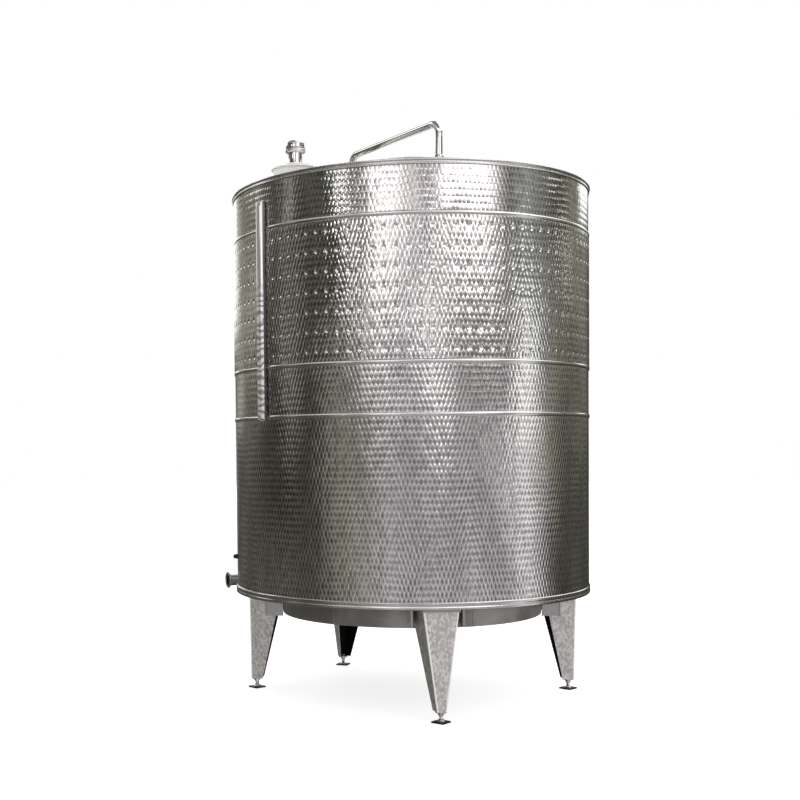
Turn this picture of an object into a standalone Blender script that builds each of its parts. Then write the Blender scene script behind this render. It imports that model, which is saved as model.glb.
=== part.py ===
"""Homogenizer mixing tank: a steel cylinder with a cone roof on four folded sheet legs.

Metres, +Z up, origin on the floor in the middle of the whole footprint. Bearings are in degrees,
counted from -Y (the front) towards +X, about the tank's own axis.
"""

import math

import bmesh
import bpy
from mathutils import Matrix, Vector

# The outlet stands out on the left, so the axis lies this far right of the footprint's middle
AXIS_X = 0.0418

# Shell, from the floor up
RADIUS = 0.950              # outside of the shell plates
WALL = 0.003                # shell and roof plate
GAP = 0.0003                # between neighbouring pieces
UNDERSIDE = 0.555           # flat underside of the tank above the floor
BOTTOM_STRIP_TOP = 0.593
BAND_HEIGHTS = {"lower": 1.484, "middle": 1.734, "upper": 2.430}
BAND_WIDTH = 0.020
BAND_PROUD = 0.005
JACKET_PROUD = 0.004
RIM_BOTTOM = 2.640
RIM_TOP = 2.680
RIM_LIP = 0.009             # how far the top lip stands out
BOTTOM_PLATE = 0.006
SIDES = 64                  # flats around the tank

# Roof and what stands on it
ROOF_RISE = 0.230
ROOF_EDGE = RADIUS - 0.004
PORT_AT = (-0.595, -0.200)
PORT_RADIUS = 0.118
PORT_PLATE = 0.165          # radius of the roof plate welded in around the port
PORT_TOP = RIM_TOP + 0.130
LID_CROWN = RIM_TOP + 0.164
VENT_RADIUS = 0.038
VENT_TOP = RIM_TOP + 0.228
CAP_TOP = RIM_TOP + 0.284
CIP_RADIUS = 0.019
CIP_HEIGHT = RIM_TOP + 0.251
CIP_FRONT = (0.153, -0.620)
CIP_REAR = (-0.305, 0.030)
CIP_BEND = 0.057

# Outlet at floor level, set askew to the shell
OUTLET_FACE = (-1.0212, 0.0475)
OUTLET_BEARING = -62.0
OUTLET_HEIGHT = 0.594
OUTLET_RADIUS = 0.032
OUTLET_LENGTH = 0.100
FERRULE_RADIUS = 0.0455
STUB_BEARING = -84.0
STUB_HEIGHT = 0.740
STUB_RADIUS = 0.014

# Cover strip on the left of the shell
DUCT_BEARING = -50.0
DUCT_HALF_WIDTH = 0.030
DUCT_DEPTH = 0.028
DUCT_SINK = 0.0009          # how much lower than the bands' corners the flats are that its edges rest on
DUCT_BOTTOM, DUCT_TOP = 1.468, 2.574

# Legs, feet and the ring between them
LEG_BEARINGS = {"front": 9.5, "left": -90.0, "right": 94.0, "rear": -151.0}
LEG_FACE = 0.885            # distance of a leg's outer face from the axis
LEG_HEAD = (0.175, 0.180)   # face width and flange depth at the top
LEG_TOE = (0.045, 0.065)    # the same at the bottom
LEG_SPLAY = 10.0            # flanges open towards the axis
LEG_SHEET = 0.004
LEG_BOTTOM = 0.055
HEAD_PLATE = 0.005
FOOT_RADIUS = 0.855         # distance of a foot from the axis
PAD_SIDE = 0.070
PAD_THICKNESS = 0.008
SPINDLE_RADIUS = 0.010
RING_OUTER = 0.700
RING_WALL = 0.020
RING_DEPTH = 0.120
BRACKET_DEPTH = 0.065

# Colour, roughness and metallic value of each finish
STEEL = ("satin_steel", (0.62, 0.61, 0.60, 1), 0.28, 1.0)
POLISHED = ("polished_steel", (0.74, 0.74, 0.73, 1), 0.14, 1.0)
LEG_STEEL = ("folded_leg_steel", (0.55, 0.54, 0.52, 1), 0.34, 1.0)
DARK_STEEL = ("dull_under_steel", (0.30, 0.30, 0.29, 1), 0.50, 1.0)
BLACK = ("black_foot", (0.03, 0.03, 0.03, 1), 0.45, 0.2)


def heading(bearing):
    """Rotation about Z that turns local +X to a bearing."""
    return math.radians(bearing - 90.0)


def outward(bearing):
    """Unit vector of a bearing."""
    return Vector((math.sin(math.radians(bearing)), -math.cos(math.radians(bearing)), 0.0))


def material(finish, name):
    """A Principled material of its own for one piece."""
    label, colour, roughness, metallic = finish
    made = bpy.data.materials.new(f"{label}_{name}")
    made.use_nodes = True
    shader = made.node_tree.nodes["Principled BSDF"]
    shader.inputs["Base Color"].default_value = colour
    shader.inputs["Roughness"].default_value = roughness
    shader.inputs["Metallic"].default_value = metallic
    return made


def make_object(name, bm, finish, parent=None):
    """Turns a bmesh into a named, smooth-shaded object."""
    bmesh.ops.recalc_face_normals(bm, faces=bm.faces)
    mesh = bpy.data.meshes.new(name)
    bm.to_mesh(mesh)
    bm.free()
    mesh.shade_smooth()
    mesh.set_sharp_from_angle(angle=math.radians(30))
    mesh.materials.append(material(finish, name))
    piece = bpy.data.objects.new(name, mesh)
    bpy.context.scene.collection.objects.link(piece)
    piece.parent = parent
    return piece


def cutter(name, bm):
    """A body that only cuts others."""
    piece = make_object(name, bm, DARK_STEEL)
    piece.hide_render = True
    piece.display_type = "WIRE"
    return piece


def cut(piece, tool, operation="DIFFERENCE"):
    """Takes the tool's volume out of a piece, or with INTERSECT keeps only what is inside it."""
    boolean = piece.modifiers.new(f"cut_{tool.name}", "BOOLEAN")
    boolean.operation = operation
    boolean.solver = "EXACT"
    boolean.object = tool


def clear_of(radius, sides):
    """Corner radius of a faceted hole whose flats clear a round piece of this radius."""
    return (radius + GAP) / math.cos(math.pi / sides)


def turned(outline, sides=SIDES, centre=(0.0, 0.0)):
    """Turns a closed (radius, height) outline about an upright axis; radius 0 gives a pole."""
    bm = bmesh.new()
    rings = []
    for radius, height in outline:
        count = sides if radius else 1
        turns = [2 * math.pi * k / count for k in range(count)]
        rings.append([bm.verts.new((centre[0] + radius * math.cos(t), centre[1] + radius * math.sin(t), height))
                      for t in turns])
    for low, high in zip(rings, rings[1:] + rings[:1]):
        if len(low) == len(high) == 1:
            continue
        for k in range(sides):
            corners = [low[k % len(low)], low[(k + 1) % len(low)], high[(k + 1) % len(high)], high[k % len(high)]]
            bm.faces.new(list(dict.fromkeys(corners)))
    return bm


def rounded_route(corners, radius, steps=5):
    """Points of a route through corners, each inner corner rounded by an arc of this radius."""
    points = [corners[0]]
    for before, corner, after in zip(corners, corners[1:], corners[2:]):
        inward, onward = (before - corner).normalized(), (after - corner).normalized()
        half = inward.angle(onward) / 2
        middle = corner + (inward + onward).normalized() * (radius / math.sin(half))
        first = corner + inward * (radius / math.tan(half)) - middle
        last = corner + onward * (radius / math.tan(half)) - middle
        points += [middle + first.slerp(last, k / steps).normalized() * radius for k in range(steps + 1)]
    return points + [corners[-1]]


def tube(points, across, outer, inner, sides=16):
    """Hollow pipe along points in one plane, whose normal is across."""
    bm = bmesh.new()
    walls = []
    for k, point in enumerate(points):
        before, after = points[max(k - 1, 0)], points[min(k + 1, len(points) - 1)]
        up = (after - before).normalized().cross(across)
        walls.append([[bm.verts.new(point + r * (across * math.cos(t) + up * math.sin(t)))
                       for t in (2 * math.pi * s / sides for s in range(sides))] for r in (outer, inner)])
    for s in range(sides):
        t = (s + 1) % sides
        for near, far in zip(walls, walls[1:]):
            for a, b in zip(near, far):
                bm.faces.new((a[s], a[t], b[t], b[s]))
        for outside, inside in (walls[0], walls[-1]):
            bm.faces.new((outside[s], outside[t], inside[t], inside[s]))
    return bm


def rod(start, end, radius, sides=16):
    """Solid round bar between two points."""
    axis = end - start
    turn = axis.to_track_quat("Z", "Y").to_matrix().to_4x4()
    bm = bmesh.new()
    bmesh.ops.create_cone(bm, cap_ends=True, segments=sides, radius1=radius, radius2=radius, depth=axis.length,
                          matrix=Matrix.Translation((start + end) / 2) @ turn)
    return bm


def loft(bottom, top):
    """Solid between two outlines of the same number of (x, y, z) points."""
    bm = bmesh.new()
    low, high = [bm.verts.new(p) for p in bottom], [bm.verts.new(p) for p in top]
    bm.faces.new(low)
    bm.faces.new(high)
    for k in range(len(low)):
        nxt = (k + 1) % len(low)
        bm.faces.new((low[k], low[nxt], high[nxt], high[k]))
    return bm


def shell_ring(name, bottom, top, finish=STEEL):
    """One course of shell plate."""
    inside = RADIUS - WALL
    return make_object(name, turned([(inside, bottom), (RADIUS, bottom), (RADIUS, top), (inside, top)]), finish)


def build_shell():
    """Courses of plate between the floor of the tank and its rim, and the strips around them."""
    lower, middle, upper = (BAND_HEIGHTS[k] for k in ("lower", "middle", "upper"))
    base = shell_ring("shell_lower_course", UNDERSIDE, lower - GAP / 2)
    shell_ring("shell_middle_course", lower + GAP / 2, middle - GAP / 2)
    shell_ring("shell_jacket_course", middle + GAP / 2, upper - GAP / 2)
    shell_ring("shell_upper_course", upper + GAP / 2, RIM_BOTTOM - GAP)

    near = RADIUS + GAP
    for place, height in BAND_HEIGHTS.items():
        low, high = height - BAND_WIDTH / 2, height + BAND_WIDTH / 2
        far = RADIUS + BAND_PROUD
        outline = [(near, low), (far - 0.002, low), (far, low + 0.003), (far, high - 0.003), (far - 0.002, high), (near, high)]
        make_object(f"band_{place}", turned(outline), POLISHED)

    low, high = middle + BAND_WIDTH / 2 + GAP, upper - BAND_WIDTH / 2 - GAP
    far = RADIUS + JACKET_PROUD
    make_object("dimple_jacket", turned([(near, low), (far, low), (far, high), (near, high)]), STEEL)

    groove_low, groove_high = UNDERSIDE + 0.015, UNDERSIDE + 0.023
    far, deep = RADIUS + 0.006, RADIUS + 0.003
    outline = [(near, UNDERSIDE), (far, UNDERSIDE), (far, groove_low - 0.003), (deep, groove_low), (deep, groove_high),
               (far, groove_high + 0.003), (far, BOTTOM_STRIP_TOP), (near, BOTTOM_STRIP_TOP)]
    strip = make_object("bottom_strip", turned(outline), POLISHED)

    inside = RADIUS - WALL - GAP
    plate_top = UNDERSIDE + GAP + BOTTOM_PLATE
    make_object("bottom_plate", turned([(0, UNDERSIDE + GAP), (inside, UNDERSIDE + GAP), (inside, plate_top), (0, plate_top)]),
                STEEL)
    return base, strip


def build_roof():
    """Rolled rim, cone roof, lidded port with its vent, and the bent cleaning pipe."""
    inside, lip = RADIUS - WALL, RADIUS + RIM_LIP
    shelf = RIM_TOP - 0.008
    outline = [(inside, RIM_BOTTOM), (RADIUS + 0.003, RIM_BOTTOM), (RADIUS + 0.003, shelf), (lip, shelf), (lip, RIM_TOP),
               (inside - 0.017, RIM_TOP), (inside - 0.017, shelf), (inside, shelf)]
    make_object("top_rim", turned(outline), POLISHED)

    seat = RIM_TOP + GAP
    outline = [(0, RIM_TOP + ROOF_RISE), (ROOF_EDGE, seat + WALL), (ROOF_EDGE, seat), (ROOF_EDGE - 0.010, seat),
               (0, RIM_TOP + ROOF_RISE - WALL)]
    roof = make_object("roof_cone", turned(outline), STEEL)
    plate = make_object("roof_port_plate", turned(outline), STEEL)

    outline = [(PORT_RADIUS - WALL, RIM_TOP + 0.020), (PORT_RADIUS, RIM_TOP + 0.020), (PORT_RADIUS, PORT_TOP),
               (PORT_RADIUS - WALL, PORT_TOP)]
    make_object("inspection_port_neck", turned(outline, 48, PORT_AT), POLISHED)
    low, high = RIM_TOP - 0.05, RIM_TOP + ROOF_RISE + 0.05
    tools = [cutter(f"port_{name}", turned([(0, low), (r, low), (r, high), (0, high)], 48, PORT_AT))
             for name, r in (("hole", PORT_RADIUS + GAP), ("plate", PORT_PLATE), ("seam", PORT_PLATE + GAP))]
    cut(plate, tools[1], "INTERSECT")
    cut(plate, tools[0])
    cut(roof, tools[2])

    edge, shoulder, bore = PORT_RADIUS + 0.012, PORT_RADIUS - 0.010, VENT_RADIUS + GAP
    halfway, halfway_height = 0.6 * PORT_RADIUS, LID_CROWN - 0.006
    seat = PORT_TOP + GAP
    outline = [(bore, LID_CROWN), (halfway, halfway_height), (shoulder, seat + 0.010), (edge, seat + 0.008),
               (edge, seat), (shoulder - 0.004, seat), (halfway, halfway_height - WALL), (bore, LID_CROWN - WALL)]
    make_object("inspection_port_lid", turned(outline, 48, PORT_AT), POLISHED)

    bore = VENT_RADIUS - 0.002
    make_object("vent_neck", turned([(bore, LID_CROWN - 0.010), (VENT_RADIUS, LID_CROWN - 0.010), (VENT_RADIUS, VENT_TOP),
                                     (bore, VENT_TOP)], 24, PORT_AT), POLISHED)
    clamp = VENT_RADIUS + 0.0155
    ring_low, ring_high = VENT_TOP - 0.006, VENT_TOP + 0.016
    outline = [(VENT_RADIUS + GAP, ring_low), (clamp - 0.005, ring_low), (clamp, ring_low + 0.006), (clamp, ring_high - 0.006),
               (clamp - 0.005, ring_high), (VENT_RADIUS + GAP, ring_high)]
    make_object("vent_clamp", turned(outline, 24, PORT_AT), POLISHED)
    cap_low = VENT_TOP + GAP
    neck = VENT_RADIUS
    outline = [(0, cap_low), (neck, cap_low), (neck, ring_high + GAP), (clamp - 0.002, ring_high + GAP),
               (clamp - 0.002, CAP_TOP - 0.012), (clamp - 0.012, CAP_TOP), (0, CAP_TOP)]
    make_object("vent_cap", turned(outline, 24, PORT_AT), POLISHED)

    build_cip_pipe(roof)


def roof_height(x, y):
    """Top of the roof cone above the floor at a place."""
    return RIM_TOP + GAP + WALL + (ROOF_RISE - GAP - WALL) * (1 - math.hypot(x, y) / ROOF_EDGE)


def build_cip_pipe(roof):
    """Cleaning pipe: two upright arms through roof sockets, joined by a level run."""
    ends = {"front": CIP_FRONT, "rear": CIP_REAR}
    for place, (x, y) in ends.items():
        low, high = roof_height(x, y) - 0.020, roof_height(x, y) + 0.030
        bore, outside = clear_of(CIP_RADIUS, 16), CIP_RADIUS + 0.006
        make_object(f"cip_socket_{place}", turned([(bore, low), (outside, low), (outside, high), (bore, high)], 16, (x, y)),
                    POLISHED)
        hole = outside + GAP
        cut(roof, cutter(f"cip_hole_{place}", turned([(0, low - 0.05), (hole, low - 0.05), (hole, high + 0.05), (0, high + 0.05)],
                                                     16, (x, y))))
    starts = [Vector((x, y, roof_height(x, y) - 0.060)) for x, y in ends.values()]
    tops = [Vector((x, y, CIP_HEIGHT)) for x, y in ends.values()]
    across = (tops[1] - tops[0]).normalized().cross(Vector((0, 0, 1)))
    route = rounded_route([starts[0], tops[0], tops[1], starts[1]], CIP_BEND)
    make_object("cip_pipe", tube(route, across, CIP_RADIUS, CIP_RADIUS - 0.0015, 16), POLISHED)


def build_outlet(base, strip):
    """Short outlet pipe level with the tank floor, its open ferrule, and a small sensor stub."""
    away = outward(OUTLET_BEARING)
    face = Vector((*OUTLET_FACE, OUTLET_HEIGHT))
    up = Vector((0, 0, 1))
    root = face - away * OUTLET_LENGTH
    neck = face - away * 0.014
    make_object("outlet_pipe", tube([root, neck - away * GAP], up, OUTLET_RADIUS, OUTLET_RADIUS - 0.002, 24), STEEL)
    make_object("outlet_ferrule", tube([neck, face], up, FERRULE_RADIUS, OUTLET_RADIUS - 0.002, 24), POLISHED)
    tool = cutter("outlet_hole", rod(root - away * 0.1, face, clear_of(OUTLET_RADIUS, 24), 24))
    for piece in (base, strip):
        cut(piece, tool)

    away = outward(STUB_BEARING)
    inner = away * (RADIUS - 0.012) + up * STUB_HEIGHT
    outer = away * (RADIUS + 0.022) + up * STUB_HEIGHT
    make_object("sensor_stub", rod(inner, outer, STUB_RADIUS), DARK_STEEL)
    cut(base, cutter("stub_hole", rod(inner - away * 0.03, outer, STUB_RADIUS + GAP)))


def build_duct():
    """Half-round cover strip that stands on the three bands."""
    back = RADIUS + BAND_PROUD - DUCT_SINK
    sheet = 0.002
    arc = [math.pi * (k / 10 - 0.5) for k in range(11)]
    outer = [(back + DUCT_DEPTH * math.cos(t), DUCT_HALF_WIDTH * math.sin(t)) for t in arc]
    inner = [(back + (DUCT_DEPTH - sheet) * math.cos(t), (DUCT_HALF_WIDTH - sheet) * math.sin(t)) for t in reversed(arc)]
    outline = outer + inner
    bm = loft([(x, y, DUCT_BOTTOM) for x, y in outline], [(x, y, DUCT_TOP) for x, y in outline])
    duct = make_object("sensor_duct", bm, POLISHED)
    duct.rotation_euler.z = heading(DUCT_BEARING)


def channel(size, height):
    """Outline of a folded leg at one height: an outer face with two splayed flanges."""
    width, depth = size
    splay = math.radians(LEG_SPLAY)
    tip = width / 2 + depth * math.tan(splay)
    fold = width / 2 + LEG_SHEET * (math.tan(splay) - 1 / math.cos(splay))
    half = [(LEG_FACE, width / 2), (LEG_FACE - depth, tip), (LEG_FACE - depth, tip - LEG_SHEET / math.cos(splay)),
            (LEG_FACE - LEG_SHEET, fold)]
    return [(x, y, height) for x, y in half] + [(x, -y, height) for x, y in reversed(half)]


def build_leg(place, bearing):
    """Folded leg with its head plate, spindle and foot pad, all placed by one empty."""
    station = bpy.data.objects.new(f"station_{place}", None)
    station.rotation_euler.z = heading(bearing)
    bpy.context.scene.collection.objects.link(station)

    head = UNDERSIDE - 2 * GAP - HEAD_PLATE
    make_object(f"leg_{place}", loft(channel(LEG_TOE, LEG_BOTTOM), channel(LEG_HEAD, head)), LEG_STEEL, station)

    plate_top, plate_low = UNDERSIDE - GAP, UNDERSIDE - GAP - HEAD_PLATE
    start, web, end, half = RING_OUTER + GAP, RING_OUTER + 0.035, LEG_FACE + 0.008, 0.092
    side = [(start, plate_top), (start, UNDERSIDE - BRACKET_DEPTH), (web, UNDERSIDE - BRACKET_DEPTH), (web, plate_low),
            (end, plate_low), (end, plate_top)]
    make_object(f"leg_bracket_{place}", loft([(x, -half, z) for x, z in side], [(x, half, z) for x, z in side]),
                LEG_STEEL, station)

    flange, low = 0.028, PAD_THICKNESS + GAP
    seat = LEG_BOTTOM - GAP
    outline = [(0, low), (0.020, low), (0.020, low + 0.006), (SPINDLE_RADIUS, low + 0.012), (SPINDLE_RADIUS, seat - 0.005),
               (flange, seat - 0.005), (flange, seat), (0, seat)]
    spindle = make_object(f"foot_spindle_{place}", turned(outline, 16), POLISHED, station)
    spindle.location.x = FOOT_RADIUS
    bm = bmesh.new()
    bmesh.ops.create_cube(bm, size=1, matrix=Matrix.Diagonal((PAD_SIDE, PAD_SIDE, PAD_THICKNESS, 1)))
    pad = make_object(f"foot_pad_{place}", bm, BLACK, station)
    pad.location = (FOOT_RADIUS, 0, PAD_THICKNESS / 2)
    pad.rotation_euler.z = math.radians(45)


def build_support_ring():
    """Rolled ring under the tank floor that ties the legs together."""
    inside, low, high = RING_OUTER - RING_WALL, UNDERSIDE - RING_DEPTH, UNDERSIDE - GAP
    make_object("support_ring", turned([(inside, low), (RING_OUTER, low), (RING_OUTER, high), (inside, high)]), DARK_STEEL)


def main():
    """Clears the scene and builds every piece."""
    for old in list(bpy.data.objects):
        bpy.data.objects.remove(old, do_unlink=True)
    base, strip = build_shell()
    build_roof()
    build_outlet(base, strip)
    build_duct()
    build_support_ring()
    for place, bearing in LEG_BEARINGS.items():
        build_leg(place, bearing)

    axis = bpy.data.objects.new("tank_axis", None)
    axis.location.x = AXIS_X
    bpy.context.scene.collection.objects.link(axis)
    for piece in bpy.context.scene.objects:
        if piece.parent is None and piece != axis:
            piece.parent = axis


main()
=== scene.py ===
# %% [markdown]
# # Dressing a steel mixing tank
#
# The packed model already has every piece at its real size, but its round pieces are 64-sided and
# all of them are plain. This lesson gives each one a finely turned surface and the finish that it
# leaves the workshop with. The plain pieces could be smoothed where they are, but that keeps their
# flats. So each is made anew from arrays of points, exactly where the plain one stands, and nothing
# has to be fitted afterwards.

# %% Load the model that everything is built around
import math

import bmesh
import bpy
import numpy as np
from mathutils import Matrix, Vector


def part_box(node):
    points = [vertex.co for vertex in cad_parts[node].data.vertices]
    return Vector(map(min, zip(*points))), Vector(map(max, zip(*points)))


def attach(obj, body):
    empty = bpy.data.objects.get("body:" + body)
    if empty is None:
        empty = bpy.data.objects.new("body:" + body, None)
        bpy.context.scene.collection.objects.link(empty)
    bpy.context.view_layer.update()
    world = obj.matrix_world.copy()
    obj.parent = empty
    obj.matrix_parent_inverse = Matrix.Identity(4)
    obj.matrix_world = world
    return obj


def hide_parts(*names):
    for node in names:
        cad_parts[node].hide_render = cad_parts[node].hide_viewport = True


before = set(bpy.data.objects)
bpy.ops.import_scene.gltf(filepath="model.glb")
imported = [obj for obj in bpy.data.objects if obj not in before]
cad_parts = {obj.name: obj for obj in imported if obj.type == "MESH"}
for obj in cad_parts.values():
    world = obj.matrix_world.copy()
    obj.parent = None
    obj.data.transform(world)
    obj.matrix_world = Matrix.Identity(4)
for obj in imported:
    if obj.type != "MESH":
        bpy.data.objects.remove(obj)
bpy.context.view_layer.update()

# %% [markdown]
# ## Reading the tank's main sizes
#
# A tank is a set of rings about one upright axis. The sizes could be typed in once more, but then
# they would go wrong when the model changes. They can all be read from the boxes of the plain
# pieces: a ring's box is as wide as the ring, and the middle of the box is the axis.

# %% Axis, radius and heights
UP = (0.0, 0.0, 1.0)
WALL = 0.003        # shell and roof plate
GAP = 0.0003        # between neighbouring pieces


def span(node):
    """Lowest and highest corner of a plain piece as two arrays."""
    low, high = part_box(node)
    return np.array(low), np.array(high)


def heights(node):
    """Lowest and highest point of a plain piece."""
    low, high = span(node)
    return low[2], high[2]


def half_width(node, axis=1):
    """Radius of a round piece: half the width of its box."""
    low, high = span(node)
    return (high[axis] - low[axis]) / 2


def foot_of(node):
    """Where a piece's own upright axis meets the floor: the middle of its box, at height 0."""
    low, high = span(node)
    return (low + high) / 2 * (1, 1, 0)


def reach(node):
    """How far a ring about the tank's axis stands out from it."""
    return span(node)[1][1]


RADIUS = half_width("shell_lower_course")
FACE = RADIUS + GAP
RIM_TOP = heights("top_rim")[1]
AXIS = foot_of("top_rim") * (1, 0, 0)
AXIS_X = float(AXIS[0])
print(f"radius {RADIUS:.3f} m, axis at x {AXIS_X:.4f} m, rim {RIM_TOP:.3f} m above the floor")

# %% [markdown]
# ## The camera
#
# The photograph was taken from chest height, a little under seven metres away, with a long lens
# turned slightly to the left of the tank, and the picture was cropped afterwards. The crop could be
# imitated by turning the camera further, but that would make upright edges lean. A crop is the same
# as a shifted lens, which moves the picture and leaves upright edges as they are.

# %% Set the camera up
IMAGE = 800
SENSOR = 36.0
CAMERA_DISTANCE = 6.828
CAMERA_HEIGHT = 1.322
FOCAL_PIXELS = 1238.5
YAW, PITCH, ROLL = (math.radians(angle) for angle in (-6.45, -1.65, -0.58))
SHIFT_PIXELS = (130.0, 85.7)

camera = bpy.data.objects.new("camera", bpy.data.cameras.new("camera"))
camera.data.sensor_width = SENSOR
camera.data.lens = FOCAL_PIXELS / IMAGE * SENSOR
camera.data.shift_x, camera.data.shift_y = (pixels / IMAGE for pixels in SHIFT_PIXELS)
turn = Matrix.Rotation(-YAW, 4, "Z") @ Matrix.Rotation(math.pi / 2 + PITCH, 4, "X")
turn = turn @ Matrix.Rotation(ROLL, 4, "Z")
camera.matrix_world = Matrix.Translation((AXIS_X, -CAMERA_DISTANCE, CAMERA_HEIGHT)) @ turn
bpy.context.scene.collection.objects.link(camera)
bpy.context.scene.camera = camera
bpy.context.scene.view_settings.view_transform = "Standard"
print(f"lens {camera.data.lens:.1f} mm, {CAMERA_DISTANCE - RADIUS:.2f} m in front of the wall")

# %% [markdown]
# ## Writing shaders as expressions
#
# A finish is a formula: how dark a spot is, which way it tilts, how rough it is. Blender stores a
# formula as nodes and links, and a script could add them one by one, but nobody can read a formula
# in that. One small class wraps a socket and overloads the arithmetic operators, so that a formula
# looks like one.

# %% A socket that can be calculated with
class Value:
    """A number that varies over a surface; arithmetic on it adds Math nodes."""

    def __init__(self, tree, socket):
        self.tree = tree
        self.socket = socket

    def math(self, operation, *terms):
        """Math node over the terms, which are values or plain numbers."""
        return self.tree.node("ShaderNodeMath", {"operation": operation}, dict(enumerate(terms)))

    def __add__(self, other):
        return self.math("ADD", self, other)

    def __radd__(self, other):
        return self.math("ADD", other, self)

    def __sub__(self, other):
        return self.math("SUBTRACT", self, other)

    def __rsub__(self, other):
        return self.math("SUBTRACT", other, self)

    def __mul__(self, other):
        return self.math("MULTIPLY", self, other)

    def __rmul__(self, other):
        return self.math("MULTIPLY", other, self)

    def __truediv__(self, other):
        return self.math("DIVIDE", self, other)

    def __rtruediv__(self, other):
        return self.math("DIVIDE", other, self)

    def __gt__(self, other):
        return self.math("GREATER_THAN", self, other)

    def __lt__(self, other):
        return self.math("LESS_THAN", self, other)

    def __abs__(self):
        return self.math("ABSOLUTE", self)

    def floor(self):
        return self.math("FLOOR", self)

    def fract(self):
        return self.math("FRACT", self)

    def sin(self):
        return self.math("SINE", self)

    def arcsin(self):
        return self.math("ARCSINE", self)

    def arctan2(self, other):
        return self.math("ARCTAN2", self, other)

    def sqrt(self):
        return self.math("SQRT", self)

    def min(self, other):
        return self.math("MINIMUM", self, other)

    def max(self, other):
        return self.math("MAXIMUM", self, other)

    def blend(self, first, second):
        """first where this value is 0, second where it is 1."""
        return first + (second - first) * self

    def ramp(self, low, high):
        """0 below low, 1 above high, and an S curve between; low may be the larger."""
        settings = {"interpolation_type": "SMOOTHSTEP", "clamp": True}
        inputs = {"Value": self, "From Min": low, "From Max": high}
        return self.tree.node("ShaderNodeMapRange", settings, inputs)


print("a value has", len([name for name in vars(Value) if callable(getattr(Value, name))]), "methods")

# %% [markdown]
# ## A tree of nodes
#
# Everything that isn't arithmetic, such as noise or a shader, is a node of its own kind. A function
# for each kind would fill pages. One method adds any of them: it takes the node's type, its settings,
# which have to come first because they change its sockets, and what goes into each socket.

# %% A tree of nodes
class Tree:
    """A material's or world's nodes under construction."""

    def __init__(self, node_tree):
        self.nodes = node_tree.nodes
        self.links = node_tree.links
        self.nodes.clear()

    def node(self, kind, settings=None, inputs=None, output=0):
        """Adds a node, sets it, feeds its sockets with values or other sockets, and returns one output."""
        made = self.nodes.new(kind)
        for name, setting in (settings or {}).items():
            setattr(made, name, setting)
        for name, value in (inputs or {}).items():
            if isinstance(value, Value):
                self.links.new(value.socket, made.inputs[name])
            else:
                made.inputs[name].default_value = value
        return Value(self, made.outputs[output]) if len(made.outputs) else None

    def vector(self, operation, *terms):
        """Vector Math node over the terms."""
        return self.node("ShaderNodeVectorMath", {"operation": operation}, dict(enumerate(terms)))

    def scaled(self, vector, amount):
        """A vector made longer or shorter by a number."""
        return self.node("ShaderNodeVectorMath", {"operation": "SCALE"}, {0: vector, "Scale": amount})

    def mix(self, share, first, second, blend="MIX", label=""):
        """First colour where the share is 0, second where it is 1: mixed, added or multiplied."""
        settings = {"data_type": "RGBA", "blend_type": blend, "label": label}
        return self.node("ShaderNodeMix", settings, {0: share, 6: first, 7: second}, 2)

    def place(self):
        """Object coordinates in metres, which don't move when the camera does."""
        return self.node("ShaderNodeTexCoord", output="Object")

    def split(self, vector):
        """The three numbers of a vector."""
        first = self.node("ShaderNodeSeparateXYZ", None, {0: vector})
        return [Value(self, socket) for socket in first.socket.node.outputs]

    def noise(self, where, scale, detail=2.0, stretch=(1.0, 1.0, 1.0)):
        """Cloudy value around 0.5; stretch multiplies the pattern's fineness along each axis."""
        where = self.vector("MULTIPLY", where, stretch)
        inputs = {"Vector": where, "Scale": scale, "Detail": detail}
        return self.node("ShaderNodeTexNoise", None, inputs, "Fac")

    def chance(self, *terms):
        """A random number from 0 to 1 that is the same wherever the terms are the same."""
        seed = self.node("ShaderNodeCombineXYZ", None, dict(enumerate(terms)))
        return self.node("ShaderNodeTexWhiteNoise", {"noise_dimensions": "3D"}, {"Vector": seed}, "Value")


print("a tree has", ", ".join(name for name in vars(Tree) if not name.startswith("_")))

# %% [markdown]
# ## A metal finish
#
# Every finish of this tank ends in the same shader, fed with a colour, a roughness and a direction
# of the surface. The three could be wired up for each material, but only the formulas differ. So a
# finish is a function that draws those three into a tree, and this one step does the rest.

# %% From a drawing function to a material
def grey(level, tint=(1.0, 1.0, 1.0)):
    """Linear colour of a grey with a slight tint."""
    return (level * tint[0], level * tint[1], level * tint[2], 1.0)


def metal(name, draw, metallic=1.0):
    """New material; draw(tree) returns base colour, roughness, normal and perhaps the metallic share."""
    material = bpy.data.materials.new(name)
    material.use_nodes = True
    tree = Tree(material.node_tree)
    colour, roughness, normal, *share = draw(tree)
    inputs = {"Base Color": colour, "Roughness": roughness, "Normal": normal,
              "Metallic": share[0] if share else metallic}
    shader = tree.node("ShaderNodeBsdfPrincipled", None, inputs)
    tree.node("ShaderNodeOutputMaterial", None, {"Surface": shader})
    print(f"{name}: {len(tree.nodes)} nodes")
    return material


print("a warm middle grey is", grey(0.5, (1.0, 0.98, 0.95)))

# %% [markdown]
# ## Lighting bright metal
#
# Polished steel has no colour of its own: it shows the room. A few lamps would leave it black with
# bright dots, so the light is drawn as a room, from soft panels around the horizon. The surface of
# an upright cylinder turns through half a circle from its left edge to its right one, and the
# direction that it mirrors turns twice as fast, so each panel shows as an upright stripe. What lies
# above the camera's height mirrors the upper half of the room, and what lies below mirrors the
# floor, which is darker. Camera rays get plain white, like a studio's paper background.

# %% Walls, floors and windows of the room
PLAIN = (1.0, 1.0, 1.0)
COOL = (0.96, 0.98, 1.0)
WARM = (1.0, 0.93, 0.70)
OLIVE = (1.0, 0.98, 0.84)
LILAC = (1.0, 0.94, 1.0)
CREAM = (1.0, 0.97, 0.86)
GLOOM_BELOW = 0.040
GLOOM_ABOVE = 0.070

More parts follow.
